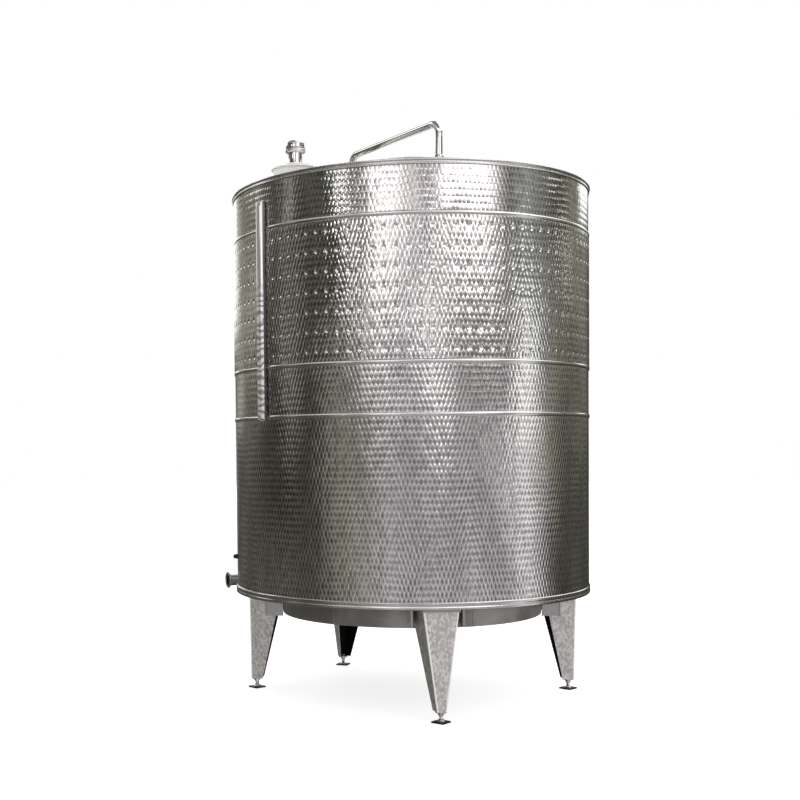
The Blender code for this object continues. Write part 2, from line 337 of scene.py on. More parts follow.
# Name, bearing from the front towards the right, half width, soft edge, lowest and highest elevation,
# soft edge, light, tint; all angles in degrees
HALL = [
    ("front wall", 14, 42, 16, 6.5, 40, 2, 0.50, LILAC),
    ("front wall foot", -1, 32, 14, 2.5, 7, 3, 0.46, LILAC),
    ("front floor", 30, 60, 26, -60, 3, 5, 0.26, LILAC),
    ("near floor", 22, 38, 20, -60, -3, 7, 0.12, LILAC),
    ("front left floor", -40, 14, 14, -60, 5, 5, 0.14, OLIVE),
    ("near left floor", -80, 30, 24, -60, -4, 5, 0.05, OLIVE),
    ("right wall", 72, 26, 16, -2, 60, 5, 0.17, COOL),
    ("timber", 101, 8, 3, -2, 5.6, 1, 0.16, WARM),
    ("low doorway", 78, 9, 7, -60, 4, 3, 0.42, COOL),
    ("back right wall", 134, 20, 12, -1, 60, 9, 0.12, OLIVE),
    ("near right floor", 140, 40, 20, -60, 0, 4, 0.02, OLIVE),
    ("low back left window", -168, 9, 5, -60, 9, 5, 0.15, PLAIN),
    ("back left wall", -145, 9, 8, 1, 12, 3, 0.26, OLIVE),
    ("back left floor", -134, 24, 12, -60, 3, 4, 0.035, OLIVE),
    ("dim ceiling", 0, 180, 1, 26, 90, 12, 0.10, PLAIN),
    ("left wall", -119, 13, 8, 2, 60, 6, 0.21, OLIVE),
    ("left column", -81, 5, 2, 2, 60, 4, 0.21, OLIVE),
]
WINDOWS = [
    ("window", -15, 9, 3, 7.6, 14.5, 3, 1.2, PLAIN),
    ("pane", 15, 4.5, 2, 3.4, 7.3, 1, 1.2, PLAIN),
    ("wide window", 37, 15, 6, 9.0, 18, 2, 1.2, PLAIN),
    ("left pane", -41, 5.5, 1.5, 9.8, 13.6, 0.8, 1.8, PLAIN),
    ("high left window", -128, 24, 3, 13.3, 17.5, 0.8, 1.0, PLAIN),
    ("tall left window", -112, 7, 3, 17, 33, 3, 1.2, PLAIN),
    ("doorway", 76, 6, 2, 3.6, 7.2, 1.2, 1.2, PLAIN),
    ("lamp", 104, 6, 4, 14.4, 15.6, 0.7, 1.9, CREAM),
    ("far lamp", 112, 6, 3, 8.3, 8.9, 0.5, 1.5, CREAM),
    ("back right window", 149, 11, 3, 10.2, 60, 1.5, 1.3, PLAIN),
    ("back left window", -164, 13, 3, 5.5, 60, 4, 1.5, PLAIN),
    ("skylight", 115, 70, 40, 26, 90, 12, 0.9, PLAIN),
    ("clerestory", 15, 85, 24, 25, 42, 6, 0.55, PLAIN),
    ("dim clerestory", 0, 180, 1, 25, 42, 6, 0.20, PLAIN),
]
print(len(HALL), "dull panels and", len(WINDOWS), "bright ones")

# %% [markdown]
# ## Hanging the panels
#
# Straight edges would show in the steel as straight lines, and a real workshop has few of them. So
# each panel fades at its edges, and the bearing sways a little with the direction. Clutter, such as
# pipes and shelves, darkens the walls here and there, while the windows shine over it.

# %% Draw the room
def lit(tree, light, panels, bearing, elevation):
    """Adds each panel's light: strength x how far the bearing is inside it x how far the elevation is."""
    for name, middle, half, soft, low, high, fade, strength, tint in panels:
        away = abs(((bearing - middle) / 360 + 0.5).fract() - 0.5) * 360
        wide = away.ramp(half + soft / 2, half - soft / 2) if half < 180 else 1.0
        above = elevation.ramp(low - fade / 2, low + fade / 2)
        tall = above * elevation.ramp(high + fade / 2, high - fade / 2)
        light = tree.mix(tall * wide, light, grey(strength, tint), "ADD", name)
    return light


def draw_room(world):
    """The room's light for each direction; only reflections and soft light see it."""
    tree = Tree(world.node_tree)
    direction = tree.node("ShaderNodeTexCoord", output="Generated")
    x, y, z = tree.split(direction)
    degrees = 180 / math.pi
    elevation = z.arcsin() * degrees
    sway = tree.noise(direction, 7.0, 3.0, (1.0, 1.0, 0.7)) - 0.5
    bearing = x.arctan2(0.0 - y) * degrees + sway * 8.0

    gloom = tree.mix(elevation.ramp(-4, 12), grey(GLOOM_BELOW, OLIVE), grey(GLOOM_ABOVE, OLIVE))
    light = lit(tree, gloom, HALL, bearing, elevation)
    clutter = tree.noise(direction, 14.0, 4.0, (1.0, 1.0, 0.8)).ramp(0.42, 0.58)
    light = tree.mix(1.0, light, tree.mix(clutter, grey(0.42), grey(1.55)), "MULTIPLY")
    light = lit(tree, light, WINDOWS, bearing, elevation)

    soft = tree.node("ShaderNodeLightPath", output="Is Diffuse Ray")
    seen = tree.node("ShaderNodeLightPath", output="Is Camera Ray")
    room = tree.mix(seen, tree.mix(soft, light, grey(0.75)), grey(1.0))
    background = tree.node("ShaderNodeBackground", None, {"Color": room, "Strength": 1.0})
    tree.node("ShaderNodeOutputWorld", None, {"Surface": background})
    return len(tree.nodes)


world = bpy.data.worlds.new("studio")
world.use_nodes = True
print("the room has", draw_room(world), "nodes")
bpy.context.scene.world = world

# %% [markdown]
# ## The floor
#
# The studio floor is pale paper that runs out of the picture. Lit by the room alone it would turn
# grey, so it glows a little and stays as white as the background, and still takes the soft shadow
# of the tank. It is left out of the steel's reflections, because the room's own dark floor belongs
# there.

# %% Lay the floor
def lay_floor(name, half=40.0, glow=0.85):
    """A flat square at height 0 with a faint speckle, half its side wide each way from the middle."""
    corners = [(-half, -half, 0), (half, -half, 0), (half, half, 0), (-half, half, 0)]
    mesh = bpy.data.meshes.new(name)
    mesh.from_pydata(corners, [], [(0, 1, 2, 3)])
    material = bpy.data.materials.new("studio_paper")
    material.use_nodes = True
    tree = Tree(material.node_tree)
    paper = tree.mix(tree.noise(tree.place(), 40.0), grey(0.78), grey(0.82))
    matt = tree.node("ShaderNodeBsdfDiffuse", None, {"Color": paper})
    shine = tree.node("ShaderNodeEmission", None, {"Color": paper, "Strength": glow})
    both = tree.node("ShaderNodeAddShader", None, {0: matt, 1: shine})
    tree.node("ShaderNodeOutputMaterial", None, {"Surface": both})
    mesh.materials.append(material)
    floor = bpy.data.objects.new(name, mesh)
    bpy.context.scene.collection.objects.link(floor)
    floor.visible_glossy = False
    return floor


print("floor laid,", lay_floor("studio_floor").dimensions.x, "m wide")

# %% [markdown]
# ## Surfaces from arrays
#
# Almost every piece of a tank is a profile carried round a circle, or a sheet with two faces. Spin
# and Solidify could make them, but they choose where the points go. Both shapes are grids of
# points, worked out at once as arrays, so the points go where the detail is. Joining a grid's
# neighbours gives the faces, and a grid may close on itself along both directions, as a ring does.

# %% Grids of points to meshes
SHARP = 35.0        # degrees; edges that turn by more than this stay sharp


def shown(name, mesh, sharp=SHARP):
    """Shades a mesh smoothly except at its sharp edges, and puts it into the scene."""
    mesh.shade_smooth()
    mesh.set_sharp_from_angle(angle=math.radians(sharp))
    piece = bpy.data.objects.new(name, mesh)
    bpy.context.scene.collection.objects.link(piece)
    return piece


def mesh_object(name, points, faces, sharp=SHARP):
    """New object from points and four-cornered faces, turned inside out if it encloses less than nothing.

    The enclosed volume is a sixth of the sum over all triangles of a . (b x c).
    """
    a, b, c, d = (points[faces[:, k]] - points.mean(axis=0) for k in range(4))
    if (np.cross(b, c) * a).sum() + (np.cross(c, d) * a).sum() < 0:
        faces = faces[:, ::-1]
    mesh = bpy.data.meshes.new(name)
    mesh.vertices.add(len(points))
    mesh.vertices.foreach_set("co", np.asarray(points, np.float32).ravel())
    mesh.loops.add(faces.size)
    mesh.loops.foreach_set("vertex_index", np.ascontiguousarray(faces, np.int32).ravel())
    mesh.polygons.add(len(faces))
    mesh.polygons.foreach_set("loop_start", np.arange(0, faces.size, 4, dtype=np.int32))
    mesh.update(calc_edges=True)
    return shown(name, mesh, sharp)


def quads(index):
    """The four-cornered faces between the neighbours of a (rows, columns) grid of point numbers."""
    corners = [index[:-1, :-1], index[:-1, 1:], index[1:, 1:], index[1:, :-1]]
    return np.stack(corners, axis=-1).reshape(-1, 4)


def ring_object(name, points, sharp=SHARP):
    """Joins a (rows, columns, 3) grid that closes on itself along both directions."""
    rows, columns = points.shape[:2]
    index = np.arange(rows * columns).reshape(rows, columns)
    index = np.vstack([index, index[:1]])
    index = np.hstack([index, index[:, :1]])
    return mesh_object(name, points.reshape(-1, 3), quads(index), sharp)


def sheet_object(name, front, back, sharp=SHARP):
    """Closes the space between two grids of one size: both grids, and a strip along each of four sides."""
    rows, columns = front.shape[:2]
    f = np.arange(rows * columns).reshape(rows, columns)
    b = f + rows * columns
    corners = [(f[:-1, :-1], f[:-1, 1:], f[1:, 1:], f[1:, :-1]),
               (b[:-1, :-1], b[1:, :-1], b[1:, 1:], b[:-1, 1:]),
               (f[0, 1:], f[0, :-1], b[0, :-1], b[0, 1:]),
               (f[-1, :-1], f[-1, 1:], b[-1, 1:], b[-1, :-1]),
               (f[:-1, 0], f[1:, 0], b[1:, 0], b[:-1, 0]),
               (f[1:, -1], f[:-1, -1], b[:-1, -1], b[1:, -1])]
    faces = np.vstack([np.stack(four, axis=-1).reshape(-1, 4) for four in corners])
    points = np.concatenate([front.reshape(-1, 3), back.reshape(-1, 3)])
    return mesh_object(name, points, faces, sharp)


print("a grid of 3 x 4 points has", len(quads(np.arange(12).reshape(3, 4))), "faces")

# %% [markdown]
# ## Hanging a piece on the tank
#
# A finished piece needs three things: its material, the body that it rides on, and the plain pieces
# that it stands for. Forgetting one would only show at the very end, so one function asks for all
# of them.

# %% Dress a piece
def dress(piece, material, slot, *nodes):
    """Gives a piece its finish, hangs it on the tank and hides the plain pieces that it stands for."""
    piece.data.materials.clear()
    piece.data.materials.append(material)
    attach(piece, "root")
    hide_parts(*nodes)
    print(f"{piece.name}: {len(piece.data.polygons)} faces")
    return piece


print("nothing on the tank moves, so every piece rides on the body root")

# %% [markdown]
# ## Rounded outlines, turned
#
# No edge of sheet metal is perfectly sharp, and the narrow round of an edge is what catches light.
# A Bevel modifier would round all edges alike and only after the piece is turned. Here the outline
# is rounded before it is turned, corner by corner, which costs few points and keeps them regular.

# %% Rounded and turned outlines
def rounded(corners, radius=0.0015, steps=3):
    """Replaces each corner of a closed outline by an arc.

    The arc leaves each side at the same distance from the corner, at most 45% of the shorter side,
    and runs along a quadratic curve whose middle point is the corner itself.
    """
    points = np.asarray(corners, float)
    before = np.roll(points, 1, axis=0) - points
    after = np.roll(points, -1, axis=0) - points
    before_length = np.linalg.norm(before, axis=1)
    after_length = np.linalg.norm(after, axis=1)
    cut = np.minimum(0.45 * np.minimum(before_length, after_length), radius)[:, None]
    start = points + before / before_length[:, None] * cut
    end = points + after / after_length[:, None] * cut
    t = np.linspace(0, 1, steps + 1)[None, :, None]
    arcs = (1 - t) ** 2 * start[:, None] + 2 * t * (1 - t) * points[:, None] + t ** 2 * end[:, None]
    return arcs.reshape(-1, points.shape[1])


def circle(count, radius=1.0):
    """Points (cos, sin) of a circle."""
    angle = np.arange(count) * (2 * math.pi / count)
    return np.stack([np.cos(angle), np.sin(angle)], axis=-1) * radius


def turned(name, profile, around=96, centre=AXIS, along=UP, sharp=SHARP):
    """Turns a closed (radius, distance) profile about an axis.

    Point (j, k) lies at the axis point of profile point j, plus its radius times the direction that
    is k steps of the circle round the axis.
    """
    profile = np.asarray(profile, float)
    along = np.array(along, float) / np.linalg.norm(along)
    side = np.cross(along, UP) if abs(along[2]) < 0.9 else np.array([1.0, 0.0, 0.0])
    side /= np.linalg.norm(side)
    round_about = circle(around) @ np.stack([side, np.cross(along, side)])
    centres = np.asarray(centre, float) + profile[:, 1, None, None] * along
    return ring_object(name, centres + profile[:, 0, None, None] * round_about, sharp)


print("a rounded square has", len(rounded([(0, 0), (1, 0), (1, 1), (0, 1)])), "points")

# %% [markdown]
# ## Solids with flat faces, joined and bored
#
# Brackets, nuts and foot plates aren't round. They are prisms between two outlines, and here a
# bevel along every fold is the right tool, because there are only a few. Pieces that are welded
# together become one object, and a hole is cut for good with a Boolean, so that no modifier is left
# on the finished piece.

# %% Prisms, joints and holes
def prism(name, outlines, bevel=0.0015, segments=2):
    """Solid with flat ends between two or more outlines of (x, y, z) points, its edges bevelled."""
    outlines = np.asarray(outlines, float)
    rows, count = outlines.shape[:2]
    index = np.arange(rows * count).reshape(rows, count)
    sides = quads(np.hstack([index, index[:, :1]]))
    mesh = bpy.data.meshes.new(name)
    ends = [index[0][::-1].tolist(), index[-1].tolist()]
    mesh.from_pydata(outlines.reshape(-1, 3), [], sides.tolist() + ends)
    shape = bmesh.new()
    shape.from_mesh(mesh)
    bmesh.ops.recalc_face_normals(shape, faces=shape.faces)
    folds = [edge for edge in shape.edges if edge.calc_face_angle(0.0) > math.radians(SHARP)]
    bmesh.ops.bevel(shape, geom=folds, offset=bevel, segments=segments, affect="EDGES", clamp_overlap=True)
    shape.to_mesh(mesh)
    shape.free()
    return shown(name, mesh)


def block(name, footprint, low, high, bevel=0.0010, segments=2):
    """Upright prism from one height to another over a footprint of points at height 0."""
    outlines = [[corner + (0, 0, z) for corner in footprint] for z in (low, high)]
    return prism(name, outlines, bevel, segments)


def joined(name, pieces):
    """One object from several; the parts go."""
    shape = bmesh.new()
    for piece in pieces:
        shape.from_mesh(piece.data)
        bpy.data.objects.remove(piece)
    mesh = bpy.data.meshes.new(name)
    shape.to_mesh(mesh)
    shape.free()
    whole = bpy.data.objects.new(name, mesh)
    bpy.context.scene.collection.objects.link(whole)
    return whole


def bored(piece, *tools):
    """Takes the tools' volumes out of a piece for good; the tools go."""
    for tool in tools:
        cut = piece.modifiers.new("bore", "BOOLEAN")
        cut.operation = "DIFFERENCE"
        cut.solver = "EXACT"
        cut.object = tool
    whole = bpy.data.meshes.new_from_object(piece.evaluated_get(bpy.context.evaluated_depsgraph_get()))
    piece.modifiers.clear()
    piece.data = whole
    for tool in tools:
        bpy.data.objects.remove(tool)
    return piece


print("edges that turn by more than", SHARP, "degrees get a bevel")

# %% [markdown]
# ## Carrying an outline along a route
#
# Tubes and weld beads are both an outline carried along a line. Blender's curves can do it, but
# their twist is hard to foresee. Every route on this tank lies in one plane, so the plane's normal
# is sideways all along it, and upwards follows from the route's direction. A bead is thin and ends
# in a point on either side, as molten metal does.

# %% Routes and welds
def carried(route, outline, side, size=1.0):
    """Grid of points: a closed outline of (sideways, upwards) offsets at every point of a route.

    Sideways is the normal of the route's plane and upwards is direction x normal. The outline is
    multiplied by the size, which may differ from point to point.
    """
    route = np.asarray(route, float)
    outline = np.asarray(outline, float)
    side = np.array(side, float) / np.linalg.norm(side)
    ahead = np.gradient(route, axis=0)
    ahead /= np.linalg.norm(ahead, axis=1)[:, None]
    up = np.cross(ahead, side)
    size = np.broadcast_to(size, len(route))[:, None, None]
    return route[:, None] + size * (outline[None, :, :1] * side + outline[None, :, 1:] * up[:, None])


def weld(name, route, width, height, side, taper, around):
    """A bead with an oval section, which shrinks to a point at both ends.

    Within the taper from an end the size is that of a quarter circle: the root of 1 - (1 - s)^2,
    with s the distance from the end divided by the taper.
    """
    gone = np.append(0.0, np.cumsum(np.linalg.norm(np.diff(route, axis=0), axis=1)))
    s = np.clip(np.minimum(gone, gone[-1] - gone) / taper, 0.02, 1)
    outline = circle(around) * (width / 2, height / 2)
    return prism(name, carried(route, outline, side, np.sqrt(1 - (1 - s) ** 2)), bevel=0.0)


def outward(bearing):
    """Direction of a bearing in degrees, counted from the front towards the right."""
    turn = math.radians(bearing)
    return np.array([math.sin(turn), -math.cos(turn), 0.0])


def beside(bearing):
    """Direction across a bearing, level, towards larger bearings."""
    return np.cross(UP, outward(bearing))


print("bearing 90 points along", outward(90.0).round(3), "with", beside(90.0).round(3), "beside it")

# %% [markdown]
# ## The swirl finish
#
# The shell plates are engine-turned: a spinning abrasive pad is pressed on the sheet, lifted and
# set down again beside the last spot, row by row. Each spot is covered with fine circles and is a
# hair lower at its middle, so it acts as a tiny dished mirror. That is why one spot shows a bright
# edge and a dark middle even where the room is evenly lit, and why the whole wall glitters. It
# could be drawn as a picture of ovals, but then it would look painted on. Here each spot tilts the
# surface instead, and the room does the rest.
#
# The first step is to know, at any point of the wall, which spot it lies in and where in the spot.
# Each row is set off by half a spot, so the spots meet as pointed six-sided cells.

# %% Where a point lies among the spots
SPOTS_AROUND = 280
SPOT_ROW = 0.0315       # height of a row
SQUEEZE = 0.42          # how much heights are shrunk before spots are compared


def wall_position(tree):
    """Object coordinates, turn about the axis in turns, height, and the wavering of hand-set rows."""
    place = tree.place()
    x, y, z = tree.split(place)
    return place, y.arctan2(x - AXIS_X) * (0.5 / math.pi), z, tree.noise(place, 1.7, 1.0) - 0.5


def honeycomb(tree, turn, height):
    """Offset from the nearest spot, in half cells, distance to the cell's edge, and the spot's number.

    Spots stand in rows, every other row set off by half a pitch. Of the nearest spot in the two
    rows beside a point the closer one counts, with heights shrunk so that cells are pointed. The
    edge is where the two are equally close, or halfway to the neighbour in the same row.
    """
    pitch = 2 * math.pi * RADIUS / SPOTS_AROUND
    rise = SPOT_ROW * SQUEEZE
    level = height / SPOT_ROW
    first = (level + 0.5).floor()
    second = first + (level > first) * 2.0 - 1.0
    found = []
    for line in (first, second):
        shift = (line * 0.5).fract()
        along = turn * SPOTS_AROUND - shift
        column = (along + 0.5).floor()
        across = (along - column) * pitch
        up = (level - line) * rise
        found.append((across, up, across * across + up * up, column + shift, line))
    (x1, y1, d1, c1, r1), (x2, y2, d2, c2, r2) = found
    other = d2 < d1
    across = other.blend(x1, x2)
    up = other.blend(y1, y2)
    number = tree.chance(other.blend(c1, c2), other.blend(r1, r2), 0.5)
    between = math.hypot(pitch / 2, rise)
    edge = (pitch / 2 - abs(across)).min((d1.max(d2) - d1.min(d2)) / (2 * between))
    return across / (pitch / 2), up / rise, edge, number


print(f"a row has {SPOTS_AROUND} spots and is {SPOT_ROW * 1000:.1f} mm high")

# %% [markdown]
# ## Tilting each spot
#
# With a spot's own coordinates at hand, the finish is a sum of small tilts: the dish of the spot,
# the grooves of its circles, the lean of the pad, a random tilt for each spot, and a long wave of
# the plate itself. A bump map would blur all that, because a spot is only two or three pixels
# wide, so the normal is tilted outright. A pale ridge is left between the spots.

# %% Swirled steel
STEEL_TINT = (1.0, 0.985, 0.96)
DISH = 0.095            # slope at a spot's edge


def tilted(tree, side, rise):
    """The surface's direction, tilted sideways and upwards by two slopes.

    Sideways is up x normal, upwards is normal x sideways; the sum of the normal and both
    directions times their slopes is made one long again.
    """
    normal = tree.node("ShaderNodeNewGeometry", output="Normal")
    sideways = tree.vector("NORMALIZE", tree.vector("CROSS_PRODUCT", UP, normal))
    upwards = tree.vector("CROSS_PRODUCT", normal, sideways)
    lean = tree.vector("ADD", tree.scaled(sideways, side), tree.scaled(upwards, rise))
    return tree.vector("NORMALIZE", tree.vector("ADD", normal, lean))


def swirl(name, dish=DISH, dark=0.50, light=0.97, lines=0.0, roll=0.0, marks=None):
    """Swirled steel: spots tilted like dishes, with a paler ridge between them.

    dish is the slope at a spot's edge, dark and light are the tones of its middle and of the ridge.
    lines draws a pale line between the rows and roll bends each row like a barrel. marks gives the
    places that are pressed smooth.
    """

    def draw(tree):
        place, turn, z, waver = wall_position(tree)
        height = z + waver * 0.030
        across, up, edge, number = honeycomb(tree, turn + waver * (0.8 / SPOTS_AROUND), height)
        away = (across * across + up * up).sqrt().max(0.02)
        middle = edge.ramp(0.0008, 0.0062)

        # The grooves tilt to and fro along the spot's own radius, and the pad's lean shears the dish
        groove = (away * 95.0).sin() * 0.02
        slope = (away.min(1.2) * dish + groove) / away
        lean = (tree.noise(place, 1.9, 1.0) - 0.5) * 5.0
        wave_side = (tree.noise(place, 4.0, 3.0, (1.0, 1.0, 0.45)) - 0.5) * 0.13
        wave_rise = (tree.noise(place, 3.1, 2.0) - 0.5) * 0.04
        side = (across + up * lean) * slope + (number - 0.5) * 0.035 + wave_side
        rise = up * slope * 0.6 + (tree.chance(number, 3.0, 1.0) - 0.5) * 0.02 + wave_rise

        patch = tree.noise(place, 6.0, 3.0)
        tone = middle.blend(light, dark) * (0.86 + 0.28 * patch) * (0.86 + 0.28 * number)
        roughness = middle.blend(0.06, 0.11) + 0.04 * patch
        if lines:
            level = (height / SPOT_ROW + 0.5).fract() - 0.5
            rise = rise + level * roll
            line = abs(abs(level) - 0.5).ramp(0.10, 0.02) * lines
            tone = line.blend(tone, light)
        if marks is not None:
            dent = marks(turn, z)
            side = side * (1.0 - dent)
            rise = rise * (1.0 - dent)
            tone = dent.blend(tone, 0.93)
            roughness = dent.blend(roughness, 0.05)
        return tree.mix(tone, grey(0.0), grey(1.0, STEEL_TINT)), roughness, tilted(tree, side, rise)

    return metal(name, draw)


print("the finish turns a spot's edge by", round(math.degrees(math.atan(DISH)), 1), "degrees")

# %% [markdown]
# ## The finish of each course
#
# The rows of the upper course are rolled a little, so each of them mirrors the windows once more,
# while the lower course is flat. Where the jacket is dimpled, the press has rubbed the swirls away,
# so the same finish also needs to know where the dimples are.

# %% Swirled steel for the courses and the jacket
DIMPLES_AROUND = 104
DIMPLE_ROWS = 7
DIMPLE_RADIUS = 0.0120
DIMPLE_DEPTH = 0.0030
PILLOW = 0.0004         # how far the skin swells between the dimples
JACKET_EDGE = 0.050     # from the jacket's edge to its first row of dimples
DIMPLE_LOW = heights("dimple_jacket")[0] + JACKET_EDGE
DIMPLE_HIGH = heights("dimple_jacket")[1] - JACKET_EDGE
DIMPLE_STEP = (DIMPLE_HIGH - DIMPLE_LOW) / (DIMPLE_ROWS - 1)


def dents(turn, height):
    """1 in a dimple, 0 away from it: a ramp over the distance from the nearest spot weld."""
    across = ((turn * DIMPLES_AROUND + 0.5).fract() - 0.5) * (2 * math.pi * RADIUS / DIMPLES_AROUND)
    level = (height - DIMPLE_LOW) / DIMPLE_STEP
    up = (level - (level + 0.5).floor().max(0.0).min(DIMPLE_ROWS - 1.0)) * DIMPLE_STEP
    return (across * across + up * up).sqrt().ramp(0.0135, 0.0115)


steel_upper = swirl("swirled_steel_upper", dish=0.048, dark=0.66, light=0.92, lines=0.6, roll=0.075)
steel_jacket = swirl("swirled_steel_jacket", marks=dents)
steel_middle = swirl("swirled_steel_middle", dish=0.08, lines=0.4, roll=0.04)
steel_lower = swirl("swirled_steel_lower")
print(f"dimple rows are {DIMPLE_STEP * 1000:.0f} mm apart")

# %% [markdown]
# ## Shell courses
#
# The wall is rolled from sheet in four courses, one above the other. Each course is a thin closed
# ring: an outer and an inner face and two narrow edges, so that it has a real thickness. A course
# starts as a flat strip, so somewhere its two ends meet in an upright weld, which is drawn as a low
# bead. The lowest course also gets the hole that its outlet comes through. The rim's smooth band is
# narrow, and the highest course runs on up to it.

# %% Roll the courses
AROUND = 320            # points around the tank
RIM_BAND = 0.026        # height of the rim's smooth band


def course(name, low, high, seam):
    """A course of plate with its upright weld at a bearing."""
    corners = [(RADIUS, low), (RADIUS, high), (RADIUS - WALL, high), (RADIUS - WALL, low)]
    ring = turned(name, rounded(corners, 0.0005, 1), AROUND)
    rise = np.linspace(low + 0.002, high - 0.002, 60)
    route = AXIS + outward(seam) * (RADIUS - 0.0008) + rise[:, None] * UP
    bead = weld(name + "_bead", route, 0.0060, 0.0036, np.cross(outward(seam), UP), 0.004, 10)
    return joined(name, [ring, bead])


OUTLET_BEARING = -62.0
OUTLET_HOLE = 0.0325    # radius of the hole in the wall for it
OUTLET_FACE = 0.2       # the outlet is turned from a point this far behind its face
FERRULE = 0.014         # thickness of its ferrule
TIP = 0.0001            # a turned solid is left open this far about its own axis
outlet_axis = outward(OUTLET_BEARING)
outlet_low, outlet_high = span("outlet_ferrule")
outlet_root = (outlet_low + outlet_high) / 2 - outlet_axis * (OUTLET_FACE - FERRULE / 2)


def outlet_hole():
    """Cylinder to cut with where the outlet comes through."""
    corners = [(OUTLET_HOLE, -0.1), (OUTLET_HOLE, 0.3), (TIP, 0.3), (TIP, -0.1)]
    return turned("hole", corners, 48, outlet_root, outlet_axis)


ring = bored(course("lower_course_plate", *heights("shell_lower_course"), 40.0), outlet_hole())
dress(ring, steel_lower, "shell_steel", "shell_lower_course")
middle_plate = course("middle_course_plate", *heights("shell_middle_course"), -14.0)
dress(middle_plate, steel_middle, "shell_steel", "shell_middle_course")
upper_low = heights("shell_upper_course")[0]
upper_plate = course("upper_course_plate", upper_low, RIM_TOP - RIM_BAND - GAP, 118.0)
dress(upper_plate, steel_upper, "shell_steel", "shell_upper_course")
backing_plate = course("jacket_backing_plate", *heights("shell_jacket_course"), 160.0)
dress(backing_plate, steel_jacket, "shell_steel", "shell_jacket_course")

# %% [markdown]
# ## The dimple jacket
#
# Cooling water runs between the wall and a thinner outer skin. The skin is pinned to the wall by
# rows of spot welds and then blown up with water pressure, which leaves a round dimple at every
# weld and a slight pillow between them. The dimples could be a bump in the finish, but a real dent
# catches the lights of the room with its own little bright spot, so they are modelled. To keep
# the mesh small its columns and rows aren't evenly spaced: they crowd where a dimple is.

# %% Press the dimples
NEAR = np.array([-12.5, -9.5, -6.5, -3.2, 0.0, 3.2, 6.5, 9.5, 12.5]) / 1000
LIP_STEPS = np.array([0.0, 0.0008, 0.0016, 0.025])


def dented(low, high):
    """Outer face of the jacket as (rows, columns, 3).

    A point's depth is DIMPLE_DEPTH times (1 - s)^2 (1 + 2 s), where s is its distance from the
    nearest spot weld in dimple radii, at most 1. The pillow adds the product of two sines. The
    first and the last row are drawn in a little, which rounds the skin's edges.
    """
    pitch = 2 * math.pi / DIMPLES_AROUND
    step = np.append(NEAR / RADIUS, pitch / 2)
    angle = (np.arange(DIMPLES_AROUND)[:, None] * pitch + step).ravel()
    rows = np.linspace(low + JACKET_EDGE, high - JACKET_EDGE, DIMPLE_ROWS)
    gap = rows[1] - rows[0]
    z = np.concatenate([(rows[:, None] + NEAR).ravel(), rows[:-1] + gap / 2,
                        low + LIP_STEPS, high - LIP_STEPS])
    z.sort()
    across = (np.mod(angle / pitch + 0.5, 1.0) - 0.5) * pitch * RADIUS
    along = np.mod((z - rows[0]) / gap + 0.5, 1.0) - 0.5
    inside = (z > rows[0] - gap / 2) & (z < rows[-1] + gap / 2)
    distance = np.hypot(np.where(inside, along * gap, 1.0)[:, None], across[None])
    s = np.clip(distance / DIMPLE_RADIUS, 0, 1)
    depth = DIMPLE_DEPTH * (1 - s) ** 2 * (1 + 2 * s)
    swell = PILLOW * np.sin(math.pi * (across / (pitch * RADIUS) + 0.5))[None] ** 2
    swell = swell * np.where(inside, 1 - np.cos(math.pi * along) ** 4, 0.2)[:, None]
    lip = np.where((z == low) | (z == high), 0.0004, 0.0)[:, None]
    radius = reach("dimple_jacket") - PILLOW + swell - depth - lip
    upward = np.repeat(z[:, None], len(angle), axis=1)
    return np.stack([AXIS_X + radius * np.cos(angle), radius * np.sin(angle), upward], axis=-1)


def against_wall(points):
    """A grid's points moved level onto the wall."""
    flat = points[..., :2] - AXIS[:2]
    flat = flat / np.linalg.norm(flat, axis=-1)[..., None] * FACE
    return np.concatenate([flat + AXIS[:2], points[..., 2:]], axis=-1)


skin = dented(*heights("dimple_jacket"))
closed_skin = np.concatenate([skin, against_wall(skin[[-1, 0]])])
dress(ring_object("dimple_jacket_skin", closed_skin), steel_jacket, "shell_steel", "dimple_jacket")

# %% [markdown]
# ## Polished and brushed trim
#
# Bands, rim and pipes are polished instead of swirled. Polishing drags fine scratches along the
# way that the piece was turned, and scratches spread a reflection only across their own
# direction. A shader's own anisotropy would do that too, but it is lost in the export, so the
# scratches are a very fine bump, stretched along the turn.

# %% Brushed steel
def brushed(level, rough, depth=0.00003, lines=(6.0, 900.0), tint=(1.0, 0.99, 0.975),
            blotch=0.12, uneven=0.10):
    """Draws polished steel: tone with faint clouds, and scratches along one direction.

    The scratches are noise over the turn times lines[0] and the radius and the height times
    lines[1], so they are long along the turn and fine across it.
    """

    def draw(tree):
        place = tree.place()
        x, y, z = tree.split(place)
        aside = x - AXIS_X
        turn = y.arctan2(aside)
        radius = (aside * aside + y * y).sqrt()
        fine = {0: turn * lines[0], 1: radius * lines[1], 2: z * lines[1]}
        stretched = tree.node("ShaderNodeCombineXYZ", None, fine)
        scratch = tree.noise(stretched, 1.0)
        cloud = tree.noise(place, 9.0, 3.0)
        tone = level * (1.0 - blotch / 2 + blotch * cloud) * (0.96 + 0.08 * scratch)
        normal = tree.node("ShaderNodeBump", None, {"Strength": 0.6, "Distance": depth, "Height": scratch})
        return tree.mix(tone, grey(0.0), grey(1.0, tint)), rough + uneven * (cloud - 0.35).max(0.0), normal

    return draw


